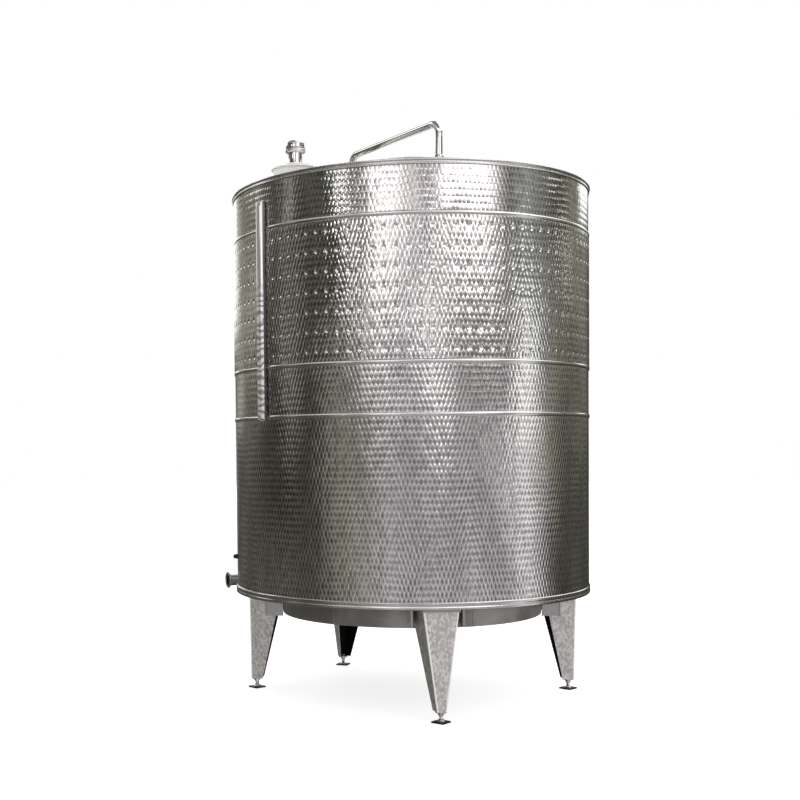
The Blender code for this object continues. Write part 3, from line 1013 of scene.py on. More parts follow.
trim = metal("polished_trim", brushed(0.78, 0.16))
rim_steel = metal("polished_rim", brushed(0.82, 0.20, lines=(4.0, 1200.0)))
pipe_steel = metal("polished_pipe", brushed(0.86, 0.07, depth=0.00001, lines=(40.0, 500.0), uneven=0.05))
# The lid and the port's neck get a near-white, almost matt colour: painted light, which stands in for the
# light that makes the steel lid look white.
lid_painted_bright = metal("satin_lid_painted_bright", brushed(0.99, 0.40, lines=(6.0, 400.0), blotch=0.02), 0.06)
roof_steel = metal("brushed_roof", brushed(0.66, 0.26, lines=(3.0, 700.0), blotch=0.2))
inner_steel = metal("plain_plate", brushed(0.52, 0.34, lines=(8.0, 300.0), blotch=0.3))

# %% [markdown]
# ## The legs' embossed sheet
#
# The legs are folded from sheet with a small diamond pattern pressed into it. On object coordinates
# the pattern would be squashed on the flanges, which stand almost edge-on to it. So each vertex of
# a leg carries its place across the unfolded sheet, and the diamonds keep their size on the face
# and on both flanges. It also carries how far it lies in a fold, where a painted highlight runs
# along the fold, and whether it is on the inside, which is painted almost black as painted shade,
# because hardly any light gets there.

# %% Embossed leg sheet
DIAMONDS_ACROSS = 74.0
DIAMONDS_UP = 50.0


def leg_sheet(tree):
    """Staggered diamonds that catch the light one by one.

    Two families of slanting stripes, across x 74 +- z x 50, cross each other, and a diamond is
    where a stripe of one meets a stripe of the other. Each has its own random tone.
    """
    place = tree.place()
    z = tree.split(place)[2]
    across, fold, inside = (tree.node("ShaderNodeAttribute", {"attribute_name": name}, output="Fac")
                            for name in ("across", "fold", "inside"))
    one = across * DIAMONDS_ACROSS + z * DIAMONDS_UP
    two = across * DIAMONDS_ACROSS - z * DIAMONDS_UP
    near = abs(one.fract() - 0.5).max(abs(two.fract() - 0.5))
    number = tree.chance(one.floor(), two.floor(), 1.0)
    cloud = tree.noise(place, 18.0, 3.0)
    # The inside of the sheet is painted almost black: painted shade, since hardly any light gets there.
    back = inside.ramp(0.3, 0.7)
    # Along each fold a painted highlight: the tone is raised towards white and the metallic share lowered,
    # so that the room's soft light draws a bright line there.
    painted_fold_highlight = fold.ramp(0.86, 0.98) * (1.0 - back)
    tone = back.blend((0.88 * (0.66 + 0.46 * number) * (0.88 + 0.24 * cloud)).min(0.98), 0.02)
    tone = tone.max(painted_fold_highlight * 0.95)
    height = (near.ramp(0.5, 0.15) + cloud * 0.3) * (1.0 - back) * (1.0 - fold.ramp(0.86, 0.98))
    normal = tree.node("ShaderNodeBump", None, {"Strength": 0.8, "Distance": 0.0009, "Height": height})
    colour = tree.mix(tone, grey(0.0), grey(1.0, (1.0, 0.985, 0.95)))
    return colour, back.blend(0.22 + 0.16 * cloud, 0.7), normal, 0.90 - 0.55 * painted_fold_highlight


leg_steel = metal("embossed_leg_sheet", leg_sheet)
bracket_steel = metal("bracket_plate", brushed(0.50, 0.24, lines=(8.0, 300.0), blotch=0.2), 0.9)
print(f"diamonds are {1000 / DIAMONDS_ACROSS:.0f} mm wide and {1000 / DIAMONDS_UP:.0f} mm high")

# %% [markdown]
# ## Rolled plate and black plastic
#
# The ring under the tank is left as it came from the mill: dull, cloudy and rubbed lighter in a few
# places. The foot plates are moulded from black plastic with a fine grain and a little dust. One
# flat colour each would do from afar, but a reader may look closer than the photograph does.

# %% Ring plate and foot plate
def rolled_plate(tree):
    """Dull plate: the tone is a base, plus lighter clouds, plus fine specks."""
    place = tree.place()
    cloud = tree.noise(place, 5.0, 4.0)
    speck = tree.noise(place, 90.0, 2.0)
    tone = 0.26 + 0.28 * cloud.ramp(0.35, 0.75) + 0.08 * speck
    normal = tree.node("ShaderNodeBump", None, {"Strength": 0.5, "Distance": 0.0003, "Height": speck})
    return tree.mix(tone, grey(0.0), grey(1.0, (1.0, 0.96, 0.91))), 0.42 + 0.25 * cloud, normal


def black_plastic(tree):
    """Moulded plate: a fine grain as bump, and dust that lightens the black where its clouds are thick."""
    place = tree.place()
    grain = tree.noise(place, 700.0, 2.0)
    dust = tree.noise(place, 30.0, 3.0)
    normal = tree.node("ShaderNodeBump", None, {"Strength": 0.3, "Distance": 0.0002, "Height": grain})
    return tree.mix(dust.ramp(0.5, 0.8), grey(0.010), grey(0.045)), 0.38 + 0.2 * dust, normal


ring_steel = metal("rolled_ring_plate", rolled_plate, 0.9)
foot_black = metal("black_foot_plate", black_plastic, 0.0)

# %% [markdown]
# ## The cover strip's finish and its painted light
#
# The half-round strip's colour carries painted light. Its upper part has a painted highlight along
# its left edge and a painted light line along it, and its right side is painted dark as painted
# shade. Lower down it has soft warm and white blotches in bands, which are painted reflections,
# over a bumpy wave. It is too narrow for the room alone to draw all that in it, so the tones follow
# the place on the strip: its turn about the tank's axis, and its height.

# %% Finish of the cover strip
STRIP_BEARING = -50.0
STRIP_MIDDLE = RADIUS + 0.02


def cover_strip(tree):
    """Painted highlight on the edge and a line above, painted reflections as blotches below, painted shade
    on the right.
    """
    place = tree.place()
    x, y, z = tree.split(place)
    lower = z.ramp(2.20, 2.04)
    turn = (x - AXIS_X).arctan2(0.0 - y)
    across = (turn - math.radians(STRIP_BEARING)) * STRIP_MIDDLE
    # The edge and the line are a painted highlight in the upper part: a bright left edge and a light line
    # along the strip.
    edge = across.ramp(-0.001, -0.005)
    line = abs(across - 0.0235).ramp(0.0045, 0.0020)
    # The right side is painted dark: painted shade.
    shade = across.ramp(0.0262, 0.0278)
    bright = edge.max(line) * (1.0 - lower)
    cloud = tree.noise(place, 26.0, 2.0)
    # Lower down, warm and white bands broken up by noise are painted reflections; the bump below is the
    # strip's real unevenness.
    warm = abs((z * 29.0 + tree.noise(place, 11.0, 2.0) * 3.0).fract() - 0.5).ramp(0.14, 0.32)
    painted_reflection_blotches = tree.mix(warm, grey(0.42, (1.0, 0.84, 0.76)), grey(0.95))
    # The upper part's colour is a light grey with the painted highlight in it.
    upper_with_painted_highlight = tree.mix(bright, grey(0.66, (0.97, 0.99, 1.0)), grey(0.98, (1.0, 0.98, 0.90)))
    colour = tree.mix(shade, tree.mix(lower, upper_with_painted_highlight, painted_reflection_blotches), grey(0.10))
    wave = tree.node("ShaderNodeBump", None, {"Strength": 0.5, "Distance": 0.0008, "Height": cloud * lower})
    # Where the painted highlight is, the metallic share is lowered, so that the room's soft light makes it
    # bright.
    return colour, 0.08 + (0.05 + 0.12 * cloud) * lower, wave, 0.72 - 0.40 * bright


strip_steel = metal("cover_strip_steel", cover_strip)

# %% [markdown]
# ## Bands
#
# Three bands cover the joints between the courses. A flat band would mirror one height of the room
# and look like a painted stripe. A real one is rolled with a bulging face, whose curve squeezes the
# whole height of the room into a thin bright line, and that line is what one sees of a band.

# %% Roll the bands
def barrel(low, high, far, swell=0.0024, steps=11):
    """Outline of a bulging band: far - swell * s^2, with s from -1 at its foot to 1 at its top."""
    s = np.linspace(-1, 1, steps)
    half = (high - low - 0.0008) / 2
    face = np.column_stack([far - swell * s ** 2, (low + high) / 2 + half * s])
    return np.vstack([[(FACE, low)], face, [(FACE, high)]])


for place in ("lower", "middle", "upper"):
    node = f"band_{place}"
    band = turned(f"{place}_band_rolled", barrel(*heights(node), reach(node)), AROUND)
    dress(band, trim, "polished_trim", node)

# %% [markdown]
# ## Foot strip and rim
#
# The strip at the foot of the wall is wider than a band and has two ridges with a shallow groove
# between them, which keep it straight. The rim ends in a flat lip at the top and in a half-round
# bead below, which draws a light line under it. Both are one outline turned about the tank's axis,
# as every ring here is.

# %% Roll the strip and the rim
def ridged(low, high, far, groove, lip, slope):
    """Outline with two ridges: out to far, down by the groove and out again around the middle height."""
    middle = (low + high) / 2
    edge = far - lip
    return [(FACE, low), (edge, low), (far, low + lip), (far, middle - slope),
            (far - groove, middle - slope * 0.35), (far - groove, middle + slope * 0.35),
            (far, middle + slope), (far, high - lip), (edge, high), (FACE, high)]


outline = ridged(*heights("bottom_strip"), reach("bottom_strip"), groove=0.0018, lip=0.003, slope=0.006)
strip = bored(turned("foot_strip_ridged", rounded(outline, 0.0022, 2), AROUND), outlet_hole())
dress(strip, trim, "polished_trim", "bottom_strip")

BAND_FACE = RADIUS + 0.003
LIP = 0.008             # height of the rim's lip
rim_low = RIM_TOP - RIM_BAND
shelf = RIM_TOP - LIP
inside = RADIUS - WALL
turns = np.linspace(0, math.pi, 7)
bead = np.column_stack([BAND_FACE + 0.0026 * np.sin(turns), rim_low + 0.004 - 0.004 * np.cos(turns)])
outline = [(inside, rim_low), *bead, (BAND_FACE, shelf - 0.004), (RADIUS + 0.0012, shelf),
           (reach("top_rim"), shelf), (reach("top_rim"), RIM_TOP), (inside - 0.017, RIM_TOP),
           (inside - 0.017, shelf), (inside, shelf)]
rim = turned("rim_with_folded_lip", rounded(outline, 0.0026, 4), AROUND)
dress(rim, rim_steel, "polished_trim", "top_rim")

# %% [markdown]
# ## Roof cone
#
# The roof is a low cone, cut as one flat sheet and pulled together, with radial welds where its
# segments meet. A dome would be stronger, but a cone is the simplest roof that sheds water. It has
# holes for the inspection port's plate and for the two arms of the cleaning pipe, and a weld that
# meets the port's plate stops there.

# %% Roof cone with its welds
EYE = 0.0004            # flat pieces are left open this far about the tank's axis
roof_low, roof_top = heights("roof_cone")
roof_edge = half_width("roof_cone")
port = foot_of("inspection_port_neck")
port_radius = half_width("inspection_port_neck", 0)
plate_radius = half_width("roof_port_plate")
sockets = {place: foot_of(f"cip_socket_{place}") for place in ("front", "rear")}
SOCKET_RADIUS = 0.025


def roof_height(distance):
    """Top of the roof at a distance from the axis: it falls evenly from the middle to the edge."""
    return roof_top - (roof_top - roof_low - WALL) * distance / roof_edge


def upright(radius, around, centre):
    """Tall cylinder to cut the roof with."""
    return turned("hole", [(radius, 2.0), (radius, 3.2), (TIP, 3.2), (TIP, 2.0)], around, centre)


outline = [(EYE, roof_top), (roof_edge, roof_low + WALL), (roof_edge, roof_low),
           (roof_edge - 0.010, roof_low), (EYE, roof_top - WALL)]
holes = [upright(plate_radius + GAP, 64, port)]
holes += [upright(SOCKET_RADIUS, 32, foot) for foot in sockets.values()]
parts = [bored(turned("cone", outline, 256), *holes)]
for bearing in np.arange(8) * 45.0 + 12.0:
    out = np.linspace(0.03, roof_edge - 0.012, 60)
    route = AXIS + outward(bearing) * out[:, None]
    route[:, 2] = roof_height(out) + 0.0002
    clear = np.linalg.norm(route[:, :2] - port[:2], axis=1) > plate_radius + 0.006
    if not clear.all():
        route = route[: int(np.argmin(clear))]
    parts.append(weld("bead", route, 0.0070, 0.0032, np.cross(outward(bearing), UP), 0.005, 8))
dress(joined("cone_roof_welded", parts), roof_steel, "shell_steel", "roof_cone")

# %% [markdown]
# ## Port plate and floor plate
#
# The place around the inspection port is a thicker ring-shaped plate, welded into the cone. Its
# edges are circles when seen from above, and each of their points is lifted to the cone's height,
# so that the plate follows the roof. The tank's floor is a flat disc that nobody sees from
# outside; it closes the vessel.

# %% Port plate with its weld, and the floor
def on_cone(radius, count=96):
    """Closed route on the roof: a circle about the port seen from above."""
    ring = circle(count, radius) + port[:2]
    return np.column_stack([ring, roof_height(np.linalg.norm(ring - AXIS[:2], axis=1))])


radii = (port_radius + GAP, port_radius + 0.016, plate_radius - 0.004, plate_radius)
top = np.array([on_cone(radius) for radius in radii])
plate = ring_object("plate", np.concatenate([top, top[::-1] - (0, 0, WALL)]))
route = on_cone(plate_radius)
away = (route - port) * (1, 1, 0)
away /= np.linalg.norm(away, axis=1)[:, None]
oval = circle(8)[:, None]
bead = ring_object("bead", route + oval[..., :1] * 0.0035 * away + oval[..., 1:] * 0.0016 * UP)
dress(joined("port_plate_welded", [plate, bead]), roof_steel, "shell_steel", "roof_port_plate")

low, high = heights("bottom_plate")
edge = RADIUS - WALL - GAP
outline = [(EYE, low), (edge, low), (edge, high), (EYE, high)]
dress(turned("floor_plate", outline, AROUND), inner_steel, "shell_steel", "bottom_plate")

# %% [markdown]
# ## Inspection port
#
# The port is a short neck with a flanged top, and its lid is domed like a shallow bowl with a
# rolled edge. A sphere's cap would be the usual dome, but pressed lids are flatter in the middle
# and fall off faster towards the edge, which a power of the distance describes in one line.

# %% Port and lid
low, high = heights("inspection_port_neck")
flange = port_radius + 0.004
outline = [(port_radius - WALL, low), (port_radius, low), (port_radius, high - 0.008),
           (flange, high - 0.004), (flange, high), (port_radius - WALL, high)]
neck = turned("port_neck_flanged", rounded(outline, 0.0015, 3), 96, port)
dress(neck, lid_painted_bright, "polished_trim", "inspection_port_neck")

lid_low, lid_high = heights("inspection_port_lid")
lid_radius = half_width("inspection_port_lid")
neck_radius = half_width("vent_neck")
share = np.linspace(0, 1, 14)
dome_radius = neck_radius + GAP + (lid_radius - 0.004 - neck_radius) * share
dome_height = lid_high - (lid_high - lid_low - 0.007) * share ** 1.8
top = np.column_stack([dome_radius, dome_height])
edge = [(lid_radius, lid_low + 0.001), (lid_radius - 0.001, lid_low), (lid_radius - 0.016, lid_low)]
under = np.column_stack([dome_radius, dome_height - WALL])[::-1][1:]
lid = turned("port_lid_domed", np.vstack([top, edge, under]), 96, port)
dress(lid, lid_painted_bright, "polished_trim", "inspection_port_lid")

# %% [markdown]
# ## Vent
#
# On the lid stands the vent, which lets air in and out when the tank is filled and emptied: a neck,
# a clamp ring with a groove for its band, and a cap. They are three turned pieces, because in
# reality they come apart for cleaning, and their outlines follow the edges that can be felt.

# %% Neck, clamp and cap of the vent
low, high = heights("vent_neck")
bore = neck_radius - 0.002
waist = neck_radius - 0.0002
outline = [(bore, low), (neck_radius, low), (neck_radius, lid_high + 0.001), (waist, lid_high + 0.004),
           (waist, high - 0.003), (neck_radius, high - 0.001), (neck_radius, high), (bore, high)]
dress(turned("vent_neck_tube", outline, 64, port), pipe_steel, "polished_trim", "vent_neck")

low, clamp_high = heights("vent_clamp")
clamp = half_width("vent_clamp")
middle = (low + clamp_high) / 2
hole = neck_radius + GAP
outline = [(hole, low), (clamp - 0.006, low), (clamp, low + 0.006), (clamp, middle - 0.0015),
           (clamp - 0.003, middle), (clamp, middle + 0.0015), (clamp, clamp_high - 0.006),
           (clamp - 0.006, clamp_high), (hole, clamp_high)]
clamp_ring = turned("vent_clamp_ring", rounded(outline, 0.0014), 64, port)
dress(clamp_ring, pipe_steel, "polished_trim", "vent_clamp")

low, high = heights("vent_cap")
cap = half_width("vent_cap")
seat = clamp_high + GAP
outline = [(EYE, low), (neck_radius, low), (neck_radius, seat), (cap - 0.002, seat), (cap, seat + 0.003),
           (cap, high - 0.012), (cap - 0.010, high - 0.001), (cap - 0.014, high), (EYE, high)]
vent_cap = turned("vent_cap_chamfered", rounded(outline, 0.0020), 64, port)
dress(vent_cap, pipe_steel, "polished_trim", "vent_cap")

# %% [markdown]
# ## Cleaning pipe
#
# The pipe that sprays the tank clean is one run of tube with two upright arms, which dip into the
# roof. A curve with a bevel would make it, but solid and with its own idea of where points go. Here
# the route is worked out first, straights and arcs, and then two rings are carried along it, one
# for the outside and one for the inside of the wall.

# %% Route with bends
def bent(corners, radius, straight=0.02, arc=14):
    """Route through corners, each replaced by an arc of one radius.

    The arc's middle lies on the corner's bisector, radius / sin(half the angle) away, and it starts
    and ends radius / tan(half the angle) from the corner. Its points are the even steps from the
    start to the end, pushed out to the radius.
    """
    corners = [np.array(corner, float) for corner in corners]
    joints = [corners[0][None]]
    for before, corner, after in zip(corners, corners[1:], corners[2:]):
        inward = (before - corner) / np.linalg.norm(before - corner)
        onward = (after - corner) / np.linalg.norm(after - corner)
        half = math.acos(float(np.clip(inward @ onward, -1, 1))) / 2
        bisector = (inward + onward) / np.linalg.norm(inward + onward)
        middle = corner + bisector * (radius / math.sin(half))
        first = corner + inward * (radius / math.tan(half)) - middle
        last = corner + onward * (radius / math.tan(half)) - middle
        share = np.linspace(0, 1, arc)[:, None]
        fan = first * (1 - share) + last * share
        joints.append(middle + fan / np.linalg.norm(fan, axis=1)[:, None] * radius)
    joints = np.concatenate(joints + [corners[-1][None]])
    steps = [max(2, int(np.linalg.norm(b - a) / straight)) for a, b in zip(joints, joints[1:])]
    runs = [np.linspace(a, b, count)[:-1] for a, b, count in zip(joints, joints[1:], steps)]
    return np.concatenate(runs + [joints[-1:]])


PIPE_RADIUS = 0.019
PIPE_WALL = 0.0015
PIPE_BEND = 0.057
crest = heights("cip_pipe")[1] - PIPE_RADIUS
starts = {}
tops = {}
for place, foot in sockets.items():
    starts[place] = foot + (0, 0, roof_height(np.linalg.norm(foot - AXIS)) - 0.060)
    tops[place] = foot + (0, 0, crest)
route = bent([starts["front"], tops["front"], tops["rear"], starts["rear"]], PIPE_BEND)
length = np.linalg.norm(np.diff(route, axis=0), axis=1).sum()
print(f"the cleaning pipe takes {length:.2f} m of tube in {len(route)} stations")

# %% [markdown]
# ## Tube, bend welds and sockets
#
# The bends are bought ready made and welded to straight tube, so a flat bead runs round the tube at
# the end of each bend. Where an arm enters the roof, a socket is welded in: a short collar with a
# chamfered top.

# %% Bend the pipe and set its sockets
run = tops["rear"] - tops["front"]
level = run / np.linalg.norm(run)
side = np.cross(run, UP)
rings = [carried(route, circle(32, radius), side) for radius in (PIPE_RADIUS, PIPE_RADIUS - PIPE_WALL)]
parts = [ring_object("tube", np.concatenate([rings[0], rings[1][::-1]]))]
BEND_END = 0.06         # from a corner of the route to the weld behind its bend
bead = [(PIPE_RADIUS - 0.001, -0.0022), (PIPE_RADIUS + 0.0003, -0.0012), (PIPE_RADIUS + 0.0005, 0.0),
        (PIPE_RADIUS + 0.0003, 0.0012), (PIPE_RADIUS - 0.001, 0.0022)]
for spot, heading in ((tops["front"] + level * BEND_END, level), (tops["rear"] - level * BEND_END, level),
                      (tops["front"] - (0, 0, BEND_END), UP), (tops["rear"] - (0, 0, BEND_END), UP)):
    parts.append(turned("bead", bead, 32, spot, heading))
dress(joined("cleaning_pipe_bent", parts), pipe_steel, "polished_trim", "cip_pipe")

SOCKET_SHARE = 0.6      # of the plain socket's height, so that the rim hides it from the front
for place, foot in sockets.items():
    low, high = heights(f"cip_socket_{place}")
    collar_top = low + SOCKET_SHARE * (high - low)
    bore = PIPE_RADIUS + 0.0006
    outline = [(bore, low), (SOCKET_RADIUS, low), (SOCKET_RADIUS, collar_top - 0.004),
               (SOCKET_RADIUS - 0.003, collar_top), (bore, collar_top)]
    socket = turned(f"pipe_socket_{place}", rounded(outline, 0.0012), 48, foot)
    dress(socket, pipe_steel, "polished_trim", f"cip_socket_{place}")

# %% [markdown]
# ## Outlet
#
# The outlet leaves the wall askew, level with the tank's floor, and ends in a clamp ferrule: a flat
# flange with a groove for its gasket and a tapered back for the clamp to pull on. It is turned
# about its own axis, which lies level, so the same function makes it that makes the upright rings.

# %% Outlet pipe and ferrule
OUTLET_OUTER = 0.032
OUTLET_BORE = 0.030
FERRULE_RADIUS = 0.0455
GROOVE = (OUTLET_BORE + FERRULE_RADIUS) / 2
PIPE_START = 0.100
pipe_end = OUTLET_FACE - FERRULE - GAP
outline = [(OUTLET_BORE, PIPE_START), (OUTLET_OUTER, PIPE_START),
           (OUTLET_OUTER, pipe_end), (OUTLET_BORE, pipe_end)]
tube = turned("tube", outline, 64, outlet_root, outlet_axis)
bead = [(OUTLET_OUTER - 0.001, 0.121), (OUTLET_OUTER + 0.0035, 0.1225), (OUTLET_OUTER + 0.004, 0.125),
        (OUTLET_OUTER + 0.0025, 0.129), (OUTLET_OUTER - 0.001, 0.130)]
bead = turned("bead", bead, 64, outlet_root, outlet_axis)
dress(joined("outlet_pipe_tube", [tube, bead]), inner_steel, "shell_steel", "outlet_pipe")

back = OUTLET_FACE - FERRULE
outline = [(OUTLET_BORE, back), (OUTLET_OUTER + 0.001, back),
           (FERRULE_RADIUS - 0.006, OUTLET_FACE - 0.0075), (FERRULE_RADIUS, OUTLET_FACE - 0.004),
           (FERRULE_RADIUS, OUTLET_FACE), (GROOVE + 0.003, OUTLET_FACE),
           (GROOVE + 0.002, OUTLET_FACE - 0.0016), (GROOVE - 0.002, OUTLET_FACE - 0.0016),
           (GROOVE - 0.003, OUTLET_FACE), (OUTLET_BORE, OUTLET_FACE)]
ferrule = turned("outlet_clamp_ferrule", rounded(outline, 0.0008, 2), 96, outlet_root, outlet_axis)
dress(ferrule, trim, "polished_trim", "outlet_ferrule")

# %% [markdown]
# ## Sensor stub
#
# A small black plug stands out of the wall above the outlet, where a level or temperature sensor is
# screwed in. It is one turned outline too: a plain root inside the wall, a collar, a waist and a
# flat cap.

# %% Turn the stub
STUB_BEARING = -84.0
STUB_LENGTH = 0.034
STUB_DEPTH = 0.012      # how far its root lies inside the wall's face
stub_low, stub_high = heights("sensor_stub")
stub_axis = outward(STUB_BEARING)
stub_root = AXIS + stub_axis * (RADIUS - STUB_DEPTH) + (0, 0, (stub_low + stub_high) / 2)
outline = [(TIP, 0), (0.0135, 0), (0.0135, 0.015), (0.014, 0.017), (0.014, 0.022), (0.010, 0.024),
           (0.010, 0.027), (0.0125, 0.028), (0.0125, STUB_LENGTH - 0.001),
           (0.011, STUB_LENGTH), (TIP, STUB_LENGTH)]
stub = turned("sensor_stub_turned", rounded(outline, 0.0006, 2), 48, stub_root, stub_axis)
dress(stub, foot_black, "underside_steel", "sensor_stub")

# %% [markdown]
# ## The cover strip
#
# A half-round strip stands on the bands and hides a cable. It is rolled from thin sheet and closed
# at both ends by a quarter dome. Cutting it from a tube would leave the ends open, so it is a
# surface of two parameters, height and turn about the strip's own axis, once for the outside and
# once for the inside.

# %% Roll the cover strip
STRIP_BACK = RADIUS + 0.005 + GAP
STRIP_SHEET = 0.0015
DOME = 0.016            # height of the quarter dome at each end


def strip_surface(half, depth, low, high, rows=60, around=25):
    """Half-round face: at each height half an oval, shrunk towards its ends like a dome.

    The size at a height is the root of 1 - (1 - s)^2, with s the distance from the nearer end
    divided by the dome's height. The depth is multiplied by it, and the width by 0.35 + 0.65 size.
    """
    closing = DOME * (1 - np.cos(np.linspace(0, math.pi / 2, 8)[:-1]))
    z = np.concatenate([low + closing, np.linspace(low + DOME, high - DOME, rows), (high - closing)[::-1]])
    s = np.clip(np.minimum(z - low, high - z) / DOME, 0, 1)
    size = np.sqrt(np.clip(1 - (1 - s) ** 2, 0.02, 1))[:, None]
    t = np.linspace(-math.pi / 2, math.pi / 2, around)
    outwards = (STRIP_BACK + depth * np.cos(t)[None] * size)[..., None]
    sideways = (half * np.sin(t)[None] * (0.35 + 0.65 * size))[..., None]
    points = AXIS + outwards * outward(STRIP_BEARING) + sideways * beside(STRIP_BEARING)
    points[..., 2] = z[:, None]
    return points


low, high = heights("sensor_duct")
front = strip_surface(0.030, 0.028, low, high)
hollow = strip_surface(0.030 - STRIP_SHEET, 0.028 - STRIP_SHEET, low + STRIP_SHEET, high - STRIP_SHEET)
dress(sheet_object("cover_strip_rolled", front, hollow), strip_steel, "polished_trim", "sensor_duct")

# %% [markdown]
# ## The ring under the tank
#
# A rolled ring carries the floor plate and ties the legs together. It is made of several lengths,
# and a narrow upright plate is welded over each joint. The plates are low prisms, a little narrower
# outside than at the ring.

# %% Ring with its joint plates
JOINTS = (-34.0, 2.0, 6.0, 26.0, 92.0, 150.0, -120.0)
low, high = heights("support_ring")
ring_radius = half_width("support_ring")
outline = [(ring_radius - 0.020, low), (ring_radius, low), (ring_radius, high), (ring_radius - 0.020, high)]
parts = [turned("ring", rounded(outline, 0.003, 3), AROUND)]
for bearing in JOINTS:
    spot = AXIS + outward(bearing) * (ring_radius - 0.0006)
    footprint = [spot + beside(bearing) * (0.004 * a) + outward(bearing) * (0.0026 * b)
                 for a, b in ((-1, 0), (1, 0), (0.6, 1), (-0.6, 1))]
    parts.append(block("joint", footprint, low + 0.002, high - 0.002, 0.0006, 1))
dress(joined("support_ring_rolled", parts), ring_steel, "underside_steel", "support_ring")

# %% [markdown]
# ## Folded legs
#
# A leg is folded from sheet: a tapered face with a flange along each side that opens a little
# towards the tank. Folding leaves a round edge, which is what shows as a bright line down each side
# of a leg. A bevelled wedge would have the outline but neither the folds nor the open back. So the
# section of the folded sheet is worked out at each height, for the outer and the inner face.

# %% Section and surface of a leg
LEG_BEARINGS = {"front": 9.5, "left": -90.0, "right": 94.0, "rear": -151.0}
LEG_FACE = 0.885        # distance of a leg's outer face from the axis
SHEET = 0.004
SPLAY = math.radians(10.0)
HEAD = (0.175, 0.180)   # width and depth at the top
TOE = (0.045, 0.065)    # and at the foot
FOLD = 0.007            # radius of a fold
STRAIGHT_POINTS = 4
FOLD_POINTS = 6


def folded(width, depth):
    """Half section of a leg as (outwards, sideways), from the middle of the face to a flange's tip.

    The two straights meet in an arc of the fold's radius; the inner face is the outer one moved
    inwards by the sheet along its own normals, so the sheet is equally thick everywhere.
    """
    bend = math.pi / 2 - SPLAY
    corner = np.array([LEG_FACE, width / 2])
    tip = corner + np.array([-math.cos(SPLAY), math.sin(SPLAY)]) * depth / math.cos(SPLAY)
    turn = np.linspace(0, bend, FOLD_POINTS)
    facing = np.stack([np.cos(turn), np.sin(turn)], axis=-1)
    arc = corner + (-FOLD, -FOLD * math.tan(bend / 2)) + FOLD * facing
    run = np.linspace(0, 1, STRAIGHT_POINTS + 1)[1:, None]
    face = np.linspace((LEG_FACE, 0.0), arc[0], STRAIGHT_POINTS + 1)[:-1]
    outer = np.vstack([face, arc, arc[-1] + (tip - arc[-1]) * run])
    straight = STRAIGHT_POINTS + 1
    normal = np.repeat(facing, [straight] + [1] * (FOLD_POINTS - 2) + [straight], axis=0)
    return outer, outer - normal * SHEET


def folded_leg(place, bearing, rows=25):
    """The leg between its toe and its head, with the three attributes that its finish reads."""
    low, high = heights(f"leg_{place}")
    faces = ([], [])
    unfolded = []
    for share in np.linspace(0, 1, rows):
        width, depth = (toe + (head - toe) * share for toe, head in zip(TOE, HEAD))
        for found, half in zip(faces, folded(width, depth)):
            whole = np.vstack([half[::-1] * (1, -1), half[1:]])
            level = AXIS + whole[:, :1] * outward(bearing) + whole[:, 1:] * beside(bearing)
            found.append(level + (0, 0, low + (high - low) * share))
        run = np.append(0.0, np.cumsum(np.linalg.norm(np.diff(whole, axis=0), axis=1)))
        unfolded.append(run - run[-1] / 2)
    leg = sheet_object(f"folded_leg_{place}", np.array(faces[0]), np.array(faces[1]), 50.0)
    count = len(leg.data.vertices) // 2
    half = np.repeat([0.0, 1.0, 0.0], (STRAIGHT_POINTS, FOLD_POINTS, STRAIGHT_POINTS))
    values = {"inside": np.repeat([0.0, 1.0], count), "across": np.tile(np.ravel(unfolded), 2),
              "fold": np.resize(np.append(half[:0:-1], half), 2 * count)}
    for label, numbers in values.items():
        attribute = leg.data.attributes.new(label, "FLOAT", "POINT")
        attribute.data.foreach_set("value", numbers.astype(np.float32))
    return leg


print("half a section has", len(folded(*HEAD)[0]), "points on each face")

# %% [markdown]
# ## Brackets
#
# A bracket carries a leg: a folded plate hooks onto the ring and runs out over the leg's head,
# where a narrow lip hangs down in front. A gusset with a turned edge at each end stiffens it on
# either side of the leg. They are prisms over simple footprints, and welded together.

# %% Plates of a bracket
BRACKET_HALF = 0.092            # half width of the bracket
BRACKET_WEB = 0.035             # how far its upright part stands out from the ring
BRACKET_END = LEG_FACE + 0.008
GUSSET_SIDE = 0.1210            # how far a gusset stands beside the leg's middle
GUSSET_PLATES = ((0.692, 0.790, 0.003), (0.692, 0.697, 0.012), (0.785, 0.790, 0.012))
GUSSET_DROP = {"front": 0.102, "left": 0.138, "right": 0.138, "rear": 0.102}


def bracket(place, bearing):
    """Hook, gussets and lip; each footprint is given as distances outwards and sideways."""
    low, high = heights(f"leg_bracket_{place}")

    def at(outwards, sideways):
        return AXIS + outward(bearing) * outwards + beside(bearing) * sideways

    start = ring_radius + GAP
    web = ring_radius + BRACKET_WEB
    corners = [(start, high), (start, low), (web, low), (web, high - 0.005), (BRACKET_END, high - 0.005),
               (BRACKET_END, high)]
    sides = [[at(r, y) + (0, 0, z) for r, z in corners] for y in (-BRACKET_HALF, BRACKET_HALF)]
    parts = [prism("bracket", sides, 0.0012, 2)]
    for sign in (-1, 1):
        for near, far, out in GUSSET_PLATES:
            inner = GUSSET_SIDE * sign
            outer = inner + out * sign
            footprint = [at(near, inner), at(far, inner), at(far, outer), at(near, outer)]
            parts.append(block("gusset", footprint, high - GUSSET_DROP[place], high))
    front = LEG_FACE + 0.001
    footprint = [at(front, -BRACKET_HALF), at(BRACKET_END, -BRACKET_HALF), at(BRACKET_END, BRACKET_HALF),
                 at(front, BRACKET_HALF)]
    parts.append(block("lip", footprint, high - 0.017, high - 0.004))
    return joined(f"leg_bracket_bevelled_{place}", parts)


print("gussets hang", GUSSET_DROP, "m down from the brackets' tops")

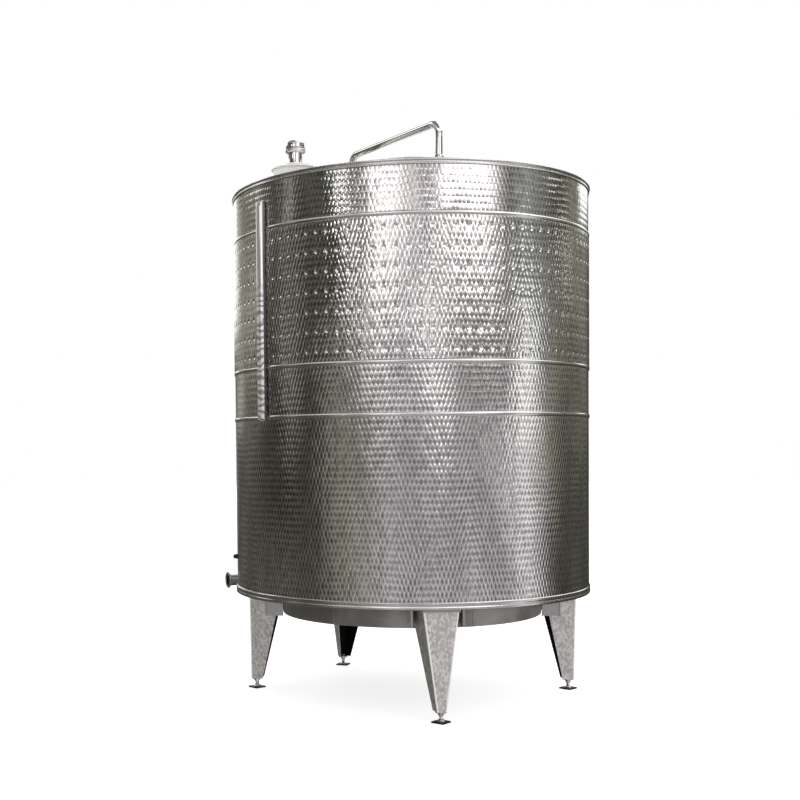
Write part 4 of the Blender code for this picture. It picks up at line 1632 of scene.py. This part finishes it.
# %% [markdown]
# ## Levelling feet
#
# Every leg ends on a threaded spindle with a nut under the leg's head plate and a square foot plate
# on the floor. A real thread is a helix, but at this size a row of ridges looks the same and closes
# neatly, so the spindle is turned with one ridge for each turn of the thread.

# %% Spindle and foot plate
PITCH_OF_THREAD = 0.0016
NUT_RADIUS = 0.0165
NUT_TURN = 0.3          # radians
PLATE_SIDE = 0.070


def spindle(place):
    """Turned spindle with a nut: base, cone, waist, ridged thread and head disc from the floor up."""
    low, high = heights(f"foot_spindle_{place}")
    centre = foot_of(f"foot_spindle_{place}")
    thread = np.arange(low + 0.014, high - 0.024, PITCH_OF_THREAD)
    ridges = np.column_stack([0.0100 - 0.0009 * (np.arange(len(thread)) % 2), thread])
    outline = [(TIP, low), (0.0200, low), (0.0200, low + 0.003), (0.0185, low + 0.005),
               (0.0135, low + 0.0065), (0.0125, low + 0.010), (0.0098, low + 0.0125), *ridges,
               (0.0098, high - 0.022), (0.0098, high - 0.005), (0.0275, high - 0.005),
               (0.0280, high - 0.004), (0.0280, high), (TIP, high)]
    shaft = turned("spindle", outline, 40, centre, sharp=28.0)
    cosine, sine = math.cos(NUT_TURN), math.sin(NUT_TURN)
    flats = circle(6, NUT_RADIUS) @ np.array([[cosine, sine], [-sine, cosine]]) + centre[:2]
    footprint = np.column_stack([flats, np.zeros(6)])
    nut = block("nut", footprint, high - 0.0165, high - 0.0055)
    return joined(f"foot_spindle_threaded_{place}", [shaft, nut])


def foot_plate(place, bearing):
    """Square plate that stands on its corner towards the tank's axis."""
    low, high = heights(f"foot_pad_{place}")
    centre = foot_of(f"foot_spindle_{place}")
    footprint = [centre + (outward(bearing) * a + beside(bearing) * b) * (PLATE_SIDE / math.sqrt(2))
                 for a, b in ((1, 0), (0, 1), (-1, 0), (0, -1))]
    return block(f"foot_plate_black_{place}", footprint, low, high, 0.0012)


for place, bearing in LEG_BEARINGS.items():
    dress(folded_leg(place, bearing), leg_steel, "leg_steel", f"leg_{place}")
    dress(bracket(place, bearing), bracket_steel, "leg_steel", f"leg_bracket_{place}")
    dress(spindle(place), pipe_steel, "polished_trim", f"foot_spindle_{place}")
    dress(foot_plate(place, bearing), foot_black, "foot_black", f"foot_pad_{place}")

# %% [markdown]
